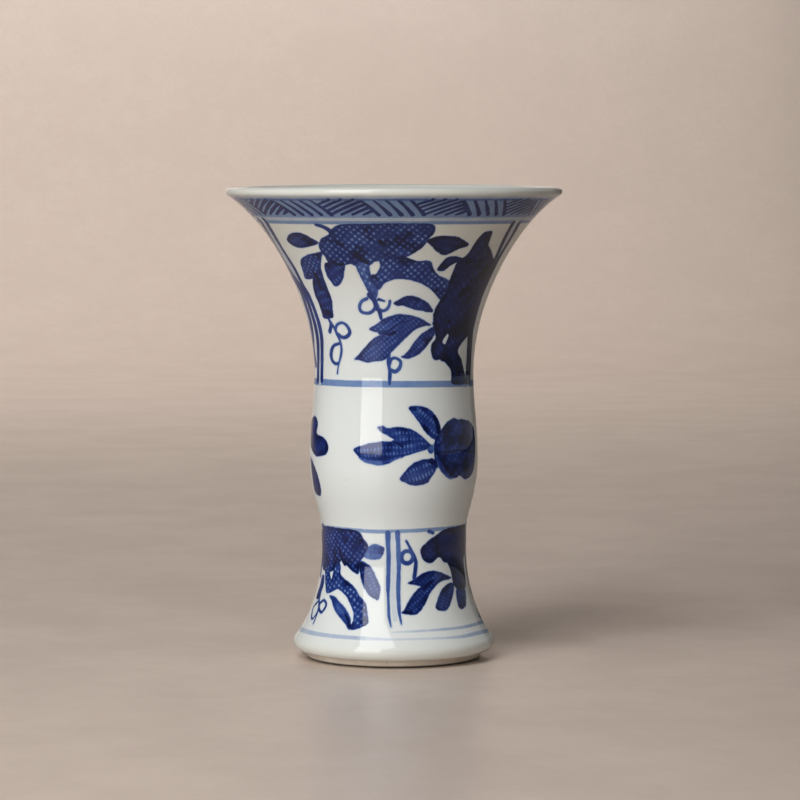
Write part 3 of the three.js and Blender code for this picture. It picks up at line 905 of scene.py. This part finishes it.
def turned_mesh(name, outline, columns):
    """A closed outline, or one that starts and ends on the axis, turned into a closed mesh."""
    angle = np.linspace(-math.pi, math.pi, columns, endpoint=False)
    vertices = []
    rings = []
    for radius, height in outline:
        first = len(vertices)
        if radius == 0:
            vertices.append((0, 0, height * MM))
            rings.append([first] * (columns + 1))
            continue
        r, z = handmade(radius, height, angle)
        vertices += zip(r * np.sin(angle) * MM, -r * np.cos(angle) * MM, z * MM)
        rings.append([*range(first, first + columns), first])
    up = lengths(np.concatenate([outline, outline[:1]]))
    share = up / up[-1]
    on_axis = outline[0][0] == 0
    faces = []
    corners = []
    for i in range(len(rings) - (1 if on_axis else 0)):
        low = rings[i]
        high = rings[(i + 1) % len(rings)]
        for j in range(columns):
            loop = [(low[j], j, i), (low[j + 1], j + 1, i), (high[j + 1], j + 1, i + 1), (high[j], j, i + 1)]
            if low[j] == low[j + 1]:
                loop.pop(1)
            elif high[j] == high[j + 1]:
                loop.pop(2)
            faces.append([corner[0] for corner in loop])
            corners += [(corner[1] / columns, share[corner[2]]) for corner in loop]
    mesh = bpy.data.meshes.new(name)
    mesh.from_pydata(vertices, [], faces)
    mesh.uv_layers.new(name="OFBake").data.foreach_set("uv", np.array(corners, np.float32).ravel())
    mesh.polygons.foreach_set("use_smooth", [True] * len(mesh.polygons))
    mesh.set_sharp_from_angle(angle=SHARP_EDGE)
    return mesh


def add_piece(mesh, material, slot, *nodes):
    piece = bpy.data.objects.new(mesh.name, mesh)
    bpy.context.scene.collection.objects.link(piece)
    mesh.materials.append(material)
    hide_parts(*nodes)
    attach(piece, "root")


def store(mesh, name, rows, first, second, third):
    """Three painted values of each point on the outside, kept with the mesh."""
    values = np.zeros((len(mesh.vertices), 3), np.float32)
    values[:, 0] = FAR
    values[:rows] = np.stack([first.ravel(), second.ravel(), third.ravel()], axis=1)
    mesh.attributes.new(name, "FLOAT_VECTOR", "POINT").data.foreach_set("vector", values.ravel())


def coat(name, face, columns, shapes, material):
    """One stretch of the outer glaze: a dense painted face and a plain back against the body."""
    wall = Wall(face, columns)
    wall.lay(shapes)
    back = sunk(face, GLAZE, GLAZE)
    keep = [*range(0, len(back) - 1, BACK_STRIDE), len(back) - 1]
    mesh = turned_mesh(name, np.concatenate([face, back[keep][::-1]]), columns)
    painted = len(face) * columns
    store(mesh, "blot", painted, wall.blot, wall.blot_tone, wall.pale_tone)
    store(mesh, "stroke", painted, wall.stroke, wall.stroke_tone, wall.pale)
    store(mesh, "hatch", painted, wall.hatch_across, wall.hatch_along, wall.contrast)
    add_piece(mesh, material, "painted_glaze", "outer_glaze")


def inner_outline():
    """The coat on the inside: up its back against the body, over the lip's tip, and down its face."""
    walls = np.concatenate([
        well_line,
        [[LOWER_JOINT_RADIUS - LOWER_JOINT_WALL, LOWER_JOINT_HEIGHT]],
        sunk(bulb_lower, LOWER_JOINT_WALL, BULB_WALL)[1:],
        sunk(bulb_upper, BULB_WALL, UPPER_JOINT_WALL)[1:],
        [[UPPER_JOINT_RADIUS - UPPER_JOINT_WALL, UPPER_JOINT_HEIGHT]],
        sunk(neck_line, UPPER_JOINT_WALL, LIP_WALL)[1:-1],
        arc(LIP_CENTRE, LIP_ROUND, math.pi - LIP_LEAN, LIP_TIP),
    ])
    across = np.linspace(0, well_line[0][0], FLOOR_POINTS)[:-1]
    floor = np.stack([across, np.full(len(across), FLOOR_HEIGHT)], axis=1)
    face = even_rows(np.concatenate([floor, walls]), PLAIN_ROW)
    back = (face - inward(face) * GLAZE)[::INNER_BACK_STRIDE]
    back[0] = (0, FLOOR_HEIGHT - GLAZE)
    face[0] = (0, FLOOR_HEIGHT)
    tip = sunk(arc(LIP_CENTRE, LIP_ROUND, LIP_TIP - TIP_ARC, LIP_TIP), GLAZE, GLAZE)[-1:]
    return np.concatenate([back[:-1], tip, face[::-1]])


def base_outline():
    """The coat in the hollow under the base disc, with a soft corner where it turns down the foot ring."""
    top = base_high[2]
    edge = base_high[0]
    corner = np.array([edge - GLAZE - HOLLOW_ROUND, top - GLAZE - HOLLOW_ROUND])
    return np.concatenate([
        [[0, top - GLAZE], [corner[0] / 2, top - GLAZE]],
        arc(corner, HOLLOW_ROUND, math.pi / 2, 0, EDGE_POINTS),
        [[edge - GLAZE, base_low[2]], [edge, base_low[2]], [edge, top], [0, top]],
    ])


def foot_outline():
    """The bare foot: its soft ring, the rounded edge under the glaze, the collar, the well and the ledge."""
    outside_wall = LOWER_JOINT_RADIUS - GLAZE_BED
    inside_wall = LOWER_JOINT_RADIUS - LOWER_JOINT_WALL + GLAZE_BED
    collar = (outside_wall + inside_wall) / 2 + LUTING / 2
    rim = LOWER_JOINT_HEIGHT - LUTING / 2
    seat = rim - TENON_DEPTH
    inner_round = np.array([SOCKET_RADIUS + FOOT_RING_ROUND, FOOT_RING_ROUND])
    outer_round = np.array([FOOT_RING_RADIUS - FOOT_RING_ROUND, FOOT_RING_ROUND])
    return np.concatenate([
        arc(inner_round, FOOT_RING_ROUND, math.pi, 1.5 * math.pi, RING_POINTS),
        arc(outer_round, FOOT_RING_ROUND, -0.5 * math.pi, 0, RING_POINTS),
        [GLAZE_EDGE - [GLAZE_BED, 0]],
        arc(EDGE_CENTRE, FOOT_EDGE_ROUND - GLAZE_BED, FOOT_TURN, FOOT_LEAN, EDGE_POINTS),
        sunk(foot_line, GLAZE_BED, GLAZE_BED)[FOOT_STRIDE::FOOT_STRIDE],
        [[outside_wall, rim], [collar, rim], [collar, seat], [inside_wall, seat]],
        sunk(well_line, -GLAZE_BED, -GLAZE_BED)[::-WELL_STRIDE][1:],
        [[LEDGE_RADIUS, LEDGE_HEIGHT], [SOCKET_RADIUS, LEDGE_HEIGHT]],
    ])


# Node graphs

class Graph:
    """A material's node tree, with short ways to add the nodes that the materials use."""

    def __init__(self, name):
        self.material = bpy.data.materials.new(name)
        self.material.use_nodes = True
        self.tree = self.material.node_tree
        self.shader = self.tree.nodes["Principled BSDF"]
        self.place = self.node("ShaderNodeTexCoord").outputs["Object"]

    def node(self, kind, **settings):
        made = self.tree.nodes.new(kind)
        for key, value in settings.items():
            setattr(made, key, value)
        return made

    def feed(self, socket, value):
        if isinstance(value, bpy.types.NodeSocket):
            self.tree.links.new(value, socket)
        else:
            socket.default_value = value

    def math(self, operation, *values, clamp=False):
        made = self.node("ShaderNodeMath", operation=operation, use_clamp=clamp)
        for socket, value in zip(made.inputs, values):
            self.feed(socket, value)
        return made.outputs[0]

    def times(self, first, second, clamp=False):
        return self.math("MULTIPLY", first, second, clamp=clamp)

    def scaled(self, value, factor, offset):
        return self.math("MULTIPLY_ADD", value, factor, offset)

    def ease(self, value, start, end, low=0.0, high=1.0):
        """A smooth step of a value between two limits."""
        made = self.node("ShaderNodeMapRange", interpolation_type="SMOOTHSTEP")
        for socket, number in zip(made.inputs, (value, start, end, low, high)):
            self.feed(socket, number)
        return made.outputs[0]

    def noise(self, size_mm, detail=2.0, roughness=0.5):
        """Noise from 0 to 1 whose features are about one size across."""
        made = self.node("ShaderNodeTexNoise")
        self.feed(made.inputs["Vector"], self.place)
        self.feed(made.inputs["Scale"], 1 / (size_mm * MM))
        self.feed(made.inputs["Detail"], detail)
        self.feed(made.inputs["Roughness"], roughness)
        return made.outputs["Fac"]

    def centred(self, size_mm, detail):
        """Noise that swings from -0.5 to 0.5."""
        return self.math("SUBTRACT", self.noise(size_mm, detail), 0.5)

    def spot(self, place, size_mm):
        """One in the middle of an oval patch, fading to nothing at its edge."""
        offset = self.node("ShaderNodeVectorMath", operation="SUBTRACT")
        self.feed(offset.inputs[0], self.place)
        self.feed(offset.inputs[1], place)
        share = self.node("ShaderNodeVectorMath", operation="DIVIDE")
        self.feed(share.inputs[0], offset.outputs[0])
        self.feed(share.inputs[1], [side * MM for side in size_mm])
        distance = self.node("ShaderNodeVectorMath", operation="LENGTH")
        self.feed(distance.inputs[0], share.outputs[0])
        return self.ease(distance.outputs["Value"], 1.0, 0.3)

    def parts(self, vector):
        split = self.node("ShaderNodeSeparateXYZ")
        self.feed(split.inputs[0], vector)
        return split.outputs

    def rise(self, start_mm, end_mm, low=0.0, high=1.0):
        """A smooth step between two heights."""
        return self.ease(self.parts(self.place)["Z"], start_mm * MM, end_mm * MM, low, high)

    def painted(self, name):
        """The three painted values that the mesh keeps under a name."""
        return self.parts(self.node("ShaderNodeAttribute", attribute_name=name).outputs["Vector"])

    def ramp(self, value, stops):
        made = self.node("ShaderNodeValToRGB")
        elements = made.color_ramp.elements
        while len(elements) < len(stops):
            elements.new(0.5)
        for element, (position, colour) in zip(elements, stops):
            element.position = position
            element.color = (*colour, 1)
        self.feed(made.inputs[0], value)
        return made.outputs["Color"]

    def mix(self, share, first, second, blend="MIX"):
        made = self.node("ShaderNodeMix", data_type="RGBA", blend_type=blend)
        self.feed(made.inputs["Factor"], share)
        for name, colour in (("A", first), ("B", second)):
            self.feed(made.inputs[name], colour if isinstance(colour, bpy.types.NodeSocket) else (*colour, 1))
        return made.outputs["Result"]

    def finish(self, name, value):
        self.feed(self.shader.inputs[name], value)

    def bump(self, height, strength, distance_mm):
        made = self.node("ShaderNodeBump")
        self.feed(made.inputs["Strength"], strength)
        self.feed(made.inputs["Distance"], distance_mm * MM)
        self.feed(made.inputs["Height"], height)
        self.finish("Normal", made.outputs["Normal"])


# The glaze: its whites, the cobalt under it from the thinnest wash to the darkest, its specks and its gloss
GLAZE_WHITE = (0.775, 0.808, 0.788)
GLAZE_COOL = (0.745, 0.79, 0.79)
COBALT = (
    (0.0, GLAZE_WHITE),
    (0.13, (0.57, 0.63, 0.71)),
    (0.3, (0.22, 0.33, 0.53)),
    (0.42, (0.10, 0.178, 0.44)),
    (0.58, (0.040, 0.083, 0.29)),
    (0.7, (0.018, 0.040, 0.195)),
    (0.83, (0.009, 0.019, 0.108)),
    (1.0, (0.005, 0.008, 0.036)),
)
IRON_SPECK = (0.16, 0.10, 0.06)
SPECK_SHARE = 0.7
SPECK_SPACING = 9
GLAZE_ROUGHNESS = (0.035, 0.07)
GLAZE_IOR = 1.45

# Tints of the glaze near its lower edge, painted shade towards the rim and painted warm light from the floor
# towards the foot, with heights in millimetres
GLAZE_EDGE_TINT = (0.62, 0.52, 0.40)
GLAZE_EDGE_REACH = 0.7
RIM_PAINTED_SHADE = (0.94, 0.905, 0.85)
RIM_PAINTED_SHADE_FROM = 96
RIM_PAINTED_SHADE_TO = 120
FOOT_PAINTED_BOUNCE = (1.0, 0.985, 0.945)
FOOT_PAINTED_BOUNCE_FROM = 9
FOOT_PAINTED_BOUNCE_TO = 4

# A faint stain on the bulb: its colour and strength, its pixel, and its size in millimetres
STAIN = (0.70, 0.68, 0.48)
STAIN_SHARE = 0.3
STAIN_PX = (345, 480)
STAIN_SIZE = (2.4, 1.6, 0.5)

# Edges of the paint in mm, positive outside an outline: where each begins and is full, and how far it wanders
BLOT_EDGE = (0.24, -0.28)
STROKE_EDGE = (0.16, -0.22)
TINT_EDGE = (0.2, -0.2)
EDGE_WOBBLE = 0.4
STROKE_PRESS = 0.4
HATCH_EDGE = (-0.1, -0.8)
PALE_MIDDLE = (-0.5, -1.9)
HALO = (0.7, 0.0)

# Hatching and tone: the drift of the lines, the edges of their gaps, and the depths of changes in tone
HATCH_DRIFT = 5.0
GAP_EDGE = (0.15, -0.75)
GAP_DEPTH = 0.45
WEAVE_SHARE = 0.2
DOT_SHARE = 0.65
POOL_DEPTH = 0.2
MIDDLE_DEPTH = 0.14
HALO_DEPTH = 0.08
WASH_CLOUD = 0.4
LINE_CLOUD = 0.35
TINT_CLOUD = 0.15
LINE_WOBBLE = 0.5


def glazed(graph, ground):
    """The glossy coat over a ground colour, with faint clouds, a few iron specks and a gently uneven face."""
    cloud = graph.ease(graph.noise(14, 3), 0.35, 0.7, 0.0, 0.06)
    ground = graph.mix(cloud, ground, GLAZE_COOL, "MULTIPLY")
    specks = graph.node("ShaderNodeTexVoronoi", feature="F1")
    graph.feed(specks.inputs["Vector"], graph.place)
    graph.feed(specks.inputs["Scale"], 1 / (SPECK_SPACING * MM))
    fleck = graph.ease(specks.outputs["Distance"], 0.02, 0.012)
    rare = graph.ease(graph.noise(6, 1), 0.62, 0.66)
    colour = graph.mix(graph.times(graph.times(fleck, rare), SPECK_SHARE), ground, IRON_SPECK)
    near_edge = graph.rise(GLAZE_EDGE_HEIGHT + GLAZE_EDGE_REACH, GLAZE_EDGE_HEIGHT, 0.0, 0.5)
    colour = graph.mix(near_edge, colour, GLAZE_EDGE_TINT)
    # Painted shade: the glaze darkened and warmed towards the rim, where the flared neck faces down, away
    # from the lamps
    colour = graph.mix(graph.rise(RIM_PAINTED_SHADE_FROM, RIM_PAINTED_SHADE_TO), colour, RIM_PAINTED_SHADE, "MULTIPLY")
    # Painted light: a warm cast towards the foot, standing for the light that the floor throws up onto it
    colour = graph.mix(graph.rise(FOOT_PAINTED_BOUNCE_FROM, FOOT_PAINTED_BOUNCE_TO), colour, FOOT_PAINTED_BOUNCE, "MULTIPLY")
    graph.finish("Base Color", colour)
    graph.finish("Roughness", graph.ease(graph.noise(8, 3), 0.3, 0.75, *GLAZE_ROUGHNESS))
    graph.finish("IOR", GLAZE_IOR)
    skin = graph.math("ADD", graph.noise(7, 2), graph.times(graph.noise(1.4, 1), 0.12))
    graph.bump(skin, 0.2, 0.1)
    return graph.material


def painted_glaze():
    graph = Graph("painted_glaze")
    edge_noise = graph.times(graph.centred(1.2, 2), EDGE_WOBBLE)
    hatch_noise = graph.times(graph.centred(4.0, 2), HATCH_DRIFT)
    cloud = graph.centred(4.5, 3)
    pools = graph.ease(graph.noise(5.0, 2), 0.52, 0.67, 0.0, POOL_DEPTH)
    patches = graph.ease(graph.noise(3.4, 2), 0.3, 0.52, 0.25, 1.0)
    distance, tone, pale_tone = graph.painted("blot")
    stroke_distance, stroke_tone, pale_distance = graph.painted("stroke")
    across, along, contrast = graph.painted("hatch")

    # Hatching: two sets of lines that leave pale gaps, palest where the gaps of both sets meet
    gaps = []
    for coordinate in (across, along):
        turns = graph.scaled(coordinate, TURN, hatch_noise)
        gaps.append(graph.ease(graph.math("COSINE", turns), *GAP_EDGE))
    weave = graph.times(graph.math("ADD", *gaps), WEAVE_SHARE)
    dots = graph.scaled(graph.times(*gaps), DOT_SHARE, weave)
    dots = graph.times(dots, graph.ease(distance, *HATCH_EDGE))
    dots = graph.times(dots, graph.times(contrast, patches))

    # A wash with soft edges: paler in its dots and in the middle of a leaf, darker where pigment pooled
    wash = graph.ease(graph.math("ADD", distance, edge_noise), *BLOT_EDGE)
    depth = graph.math("ADD", graph.scaled(cloud, WASH_CLOUD, tone), pools)
    depth = graph.scaled(dots, -GAP_DEPTH, depth)
    middle = graph.ease(distance, *PALE_MIDDLE, 0.0, -MIDDLE_DEPTH)
    depth = graph.scaled(middle, graph.math("SUBTRACT", 1.0, contrast), depth)
    wash = graph.times(wash, depth, clamp=True)

    # Single strokes, uneven in width as the brush was pressed
    press = graph.times(graph.centred(5.0, 1), STROKE_PRESS)
    line_distance = graph.math("ADD", graph.scaled(edge_noise, LINE_WOBBLE, stroke_distance), press)
    line_tone = graph.scaled(cloud, LINE_CLOUD, stroke_tone)
    line = graph.times(graph.ease(line_distance, *STROKE_EDGE), line_tone, clamp=True)

    # Thin washes and rings, the painted shade under the lip, and the halo that bleeds from the cobalt into
    # the glaze
    tint_edge = graph.ease(graph.scaled(edge_noise, LINE_WOBBLE, pale_distance), *TINT_EDGE)
    tint = graph.times(tint_edge, graph.scaled(cloud, TINT_CLOUD, pale_tone))
    nearest = graph.math("MINIMUM", distance, stroke_distance)
    cobalt = graph.ease(nearest, *HALO, 0.0, HALO_DEPTH)
    for layer in (wash, line, tint):
        cobalt = graph.math("MAXIMUM", cobalt, layer)
    colour = graph.ramp(cobalt, COBALT)
    stain = graph.times(graph.spot(wall_place(*STAIN_PX), STAIN_SIZE), STAIN_SHARE)
    return glazed(graph, graph.mix(stain, colour, STAIN))


def plain_glaze():
    graph = Graph("plain_glaze")
    ground = graph.mix(graph.ease(graph.noise(20, 2), 0.3, 0.7), GLAZE_WHITE, GLAZE_COOL)
    return glazed(graph, ground)


# Bare clay: light and dark of each kind, its dark grit, and painted shade where the foot ring meets the
# table, by heights in millimetres
CLAY_ROUGHNESS = (0.75, 0.95)
BISCUIT = ((0.72, 0.655, 0.56), (0.62, 0.54, 0.44))
BISCUIT_GRAIN = 0.5
SLIP = ((0.70, 0.64, 0.55), (0.64, 0.58, 0.5))
SLIP_GRAIN = 0.35
GRIT = (0.26, 0.2, 0.15)
CONTACT_SHADE = (0.05, 0.035, 0.025)
CONTACT_SHADE_FROM = 0.75
CONTACT_SHADE_FULL = 0.45
CONTACT_SHADE_LOW = 0.03


def bare_clay(name, colours, grain_mm):
    """Fired clay without glaze: a dry mottled face with fine grit, and painted shade low on the foot ring's
    sides just above the table.
    """
    graph = Graph(name)
    mottle = graph.ease(graph.noise(5, 4, 0.6), 0.3, 0.75)
    colour = graph.mix(mottle, *colours)
    grit = graph.noise(grain_mm, 3, 0.7)
    colour = graph.mix(graph.ease(grit, 0.62, 0.75, 0.0, 0.55), colour, GRIT)
    # Painted shade: the foot ring darkened just above the table, where its contact shadow falls, but not on
    # its flat bottom
    low = graph.rise(CONTACT_SHADE_FROM, CONTACT_SHADE_FULL, 0.0, 0.9)
    off_table = graph.rise(0.0, CONTACT_SHADE_LOW)
    colour = graph.mix(graph.times(low, off_table), colour, CONTACT_SHADE)
    graph.finish("Base Color", colour)
    graph.finish("Roughness", graph.ease(grit, 0.3, 0.7, *CLAY_ROUGHNESS))
    graph.bump(grit, 0.5, 0.1)
    return graph.material


# The sweep in metres, and the stretches over which painted shade darkens it to its right, its left and its
# front
SWEEP_HALF_WIDTH = 1.8
SWEEP_FRONT = -1.8
SWEEP_BEND_START = 1.25
SWEEP_BEND_RADIUS = 0.45
SWEEP_BEND_POINTS = 24
SWEEP_TOP = 1.2
SWEEP_SHADE_RIGHT = (0.24, 0.5)
SWEEP_SHADE_LEFT = (-0.5, -0.9)
SWEEP_SHADE_FRONT = (-0.25, -0.38)
SWEEP_SHADE_SHARE = 0.85
BOARD_LIGHT = (0.69, 0.575, 0.49)
BOARD_DARK = (0.66, 0.55, 0.467)
BOARD_BLOTCH = (0.65, 0.525, 0.457)
BOARD_GRAIN = (0.5, 0.41, 0.35)
BOARD_PAINTED_SHADE = (0.1, 0.085, 0.07)
BOARD_ROUGHNESS = (0.33, 0.4)
BOARD_GLOSS = 0.4


def sweep_board():
    """The pale satin board under and behind the vase, with faint clouds and a fine grain, and painted shade
    far off.
    """
    graph = Graph("sweep_board")
    clouds = graph.ease(graph.noise(45, 4, 0.6), 0.3, 0.7)
    tint = graph.mix(clouds, BOARD_LIGHT, BOARD_DARK)
    tint = graph.mix(graph.ease(graph.noise(11, 5, 0.7), 0.35, 0.65, 0.0, 0.5), tint, BOARD_BLOTCH)
    tint = graph.mix(graph.ease(graph.noise(2.2, 3, 0.7), 0.25, 0.75, 0.0, 0.16), tint, BOARD_GRAIN)
    x, y, _ = graph.parts(graph.place)
    # Painted shade: the board darkened far off, standing for the dark room beyond the lit board
    right = graph.ease(x, *SWEEP_SHADE_RIGHT, 0.0, SWEEP_SHADE_SHARE)
    left = graph.ease(x, *SWEEP_SHADE_LEFT, 0.0, SWEEP_SHADE_SHARE)
    front = graph.ease(y, *SWEEP_SHADE_FRONT, 0.0, SWEEP_SHADE_SHARE)
    far_shade = graph.math("MAXIMUM", graph.math("MAXIMUM", right, left), front)
    graph.finish("Base Color", graph.mix(far_shade, tint, BOARD_PAINTED_SHADE))
    graph.finish("Roughness", graph.ease(clouds, 0.0, 1.0, *BOARD_ROUGHNESS))
    graph.finish("Specular IOR Level", BOARD_GLOSS)
    return graph.material


# Stage, lights and camera, in metres

def add_sweep():
    centre = np.array([SWEEP_BEND_START, SWEEP_BEND_RADIUS])
    bend = arc(centre, SWEEP_BEND_RADIUS, -math.pi / 2, 0, SWEEP_BEND_POINTS)
    wall = SWEEP_BEND_START + SWEEP_BEND_RADIUS
    profile = [(SWEEP_FRONT, 0), *bend, (wall, SWEEP_TOP)]
    vertices = [(side * SWEEP_HALF_WIDTH, y, z) for y, z in profile for side in (-1, 1)]
    faces = [(2 * i, 2 * i + 1, 2 * i + 3, 2 * i + 2) for i in range(len(profile) - 1)]
    mesh = bpy.data.meshes.new("sweep")
    mesh.from_pydata(vertices, [], faces)
    mesh.polygons.foreach_set("use_smooth", [True] * len(faces))
    mesh.materials.append(sweep_board())
    sweep = bpy.data.objects.new("sweep", mesh)
    bpy.context.scene.collection.objects.link(sweep)


# Softboxes: name, place, the point they face, width and height, and radiance; then the grey of the room
SOFTBOXES = (
    ("key_strip", (-0.463, -0.776, 0.41), (0, 0, 0.28), (0.51, 0.76), 5.0),
    ("key_top", (-0.428, -0.713, 1.288), (0, 0, 0.1), (0.8, 0.8), 4.4),
    ("backdrop_near", (-0.3, 0.5, 0.8), (-0.3, 1.5, 0.35), (1.2, 0.4), 2.05),
    ("backdrop_far", (-0.42, 1.1, 0.75), (-0.42, 1.72, 0.25), (1.4, 0.4), 2.95),
    ("side_card", (0.85, 0.2, 0.3), (0, 0, 0.08), (1.4, 0.6), 0.28),
)
WORLD_GREY = 0.02


def add_softbox(name, place, aim, size, radiance):
    """An even rectangular lamp at a place, turned towards a point; its power follows from its size."""
    lamp = bpy.data.lights.new(name, "AREA")
    lamp.shape = "RECTANGLE"
    lamp.size, lamp.size_y = size
    lamp.energy = radiance * math.pi * size[0] * size[1]
    holder = bpy.data.objects.new(name, lamp)
    bpy.context.scene.collection.objects.link(holder)
    holder.location = place
    towards = holder.location.copy()
    towards.xyz = [a - p for a, p in zip(aim, place)]
    holder.rotation_euler = towards.to_track_quat("-Z", "Y").to_euler()


def add_lights():
    for softbox in SOFTBOXES:
        add_softbox(*softbox)
    world = bpy.data.worlds.new("studio")
    world.use_nodes = True
    background = world.node_tree.nodes["Background"]
    background.inputs["Color"].default_value = (WORLD_GREY, WORLD_GREY, WORLD_GREY, 1)
    bpy.context.scene.world = world


def add_camera():
    lens = bpy.data.cameras.new("camera")
    lens.sensor_width = SENSOR_MM
    lens.lens = FOCAL_PX * SENSOR_MM / FRAME_PX
    camera = bpy.data.objects.new("camera", lens)
    bpy.context.scene.collection.objects.link(camera)
    camera.location = (CAMERA_ASIDE * MM, -CAMERA_DISTANCE * MM, CAMERA_HEIGHT * MM)
    camera.rotation_euler = (math.pi / 2 - PITCH, 0, 0)
    bpy.context.scene.camera = camera


def add_vase():
    shapes = painted_shapes() + border_strokes() + painted_rings()
    painted = painted_glaze()
    plain = plain_glaze()
    biscuit = bare_clay("biscuit", BISCUIT, BISCUIT_GRAIN)
    slip = bare_clay("slip", SLIP, SLIP_GRAIN)
    border_start = int(np.searchsorted(neck_face[:, 1], BORDER_FOOT))
    seam = [[radius_at(BORDER_FOOT), BORDER_FOOT]]
    neck_wall = np.concatenate([neck_face[:border_start], seam])
    lip_wall = np.concatenate([seam, neck_face[border_start:]])
    coat("lip_glaze", even_rows(lip_wall, LIP_ROW), LIP_COLUMNS, shapes, painted)
    coat("neck_glaze", even_rows(neck_wall, NECK_ROW), NECK_COLUMNS, shapes, painted)
    coat("bulb_glaze", even_rows(bulb_face, BULB_ROW), BULB_COLUMNS, shapes, painted)
    coat("foot_glaze", even_rows(foot_face, FOOT_ROW), FOOT_COLUMNS, shapes, painted)
    inside = turned_mesh("inside_glaze", inner_outline(), PLAIN_COLUMNS)
    hollow = turned_mesh("hollow_glaze", base_outline(), PLAIN_COLUMNS)
    foot = turned_mesh("foot_body", foot_outline(), PLAIN_COLUMNS)
    add_piece(inside, plain, "plain_glaze", "inner_glaze")
    add_piece(hollow, plain, "plain_glaze", "base_glaze")
    add_piece(foot, biscuit, "biscuit", "foot_section")
    for node in ("neck_section", "bulb_section", "base_disc"):
        dress(node, biscuit)
    for node in ("upper_luting", "lower_luting", "base_luting"):
        dress(node, slip)


def dress(node, material):
    """A solid that stays as it is, in a better finish."""
    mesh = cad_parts[node].data
    mesh.materials.clear()
    mesh.materials.append(material)


add_camera()
add_sweep()
add_lights()
add_vase()
bpy.context.scene.view_settings.view_transform = "Standard"
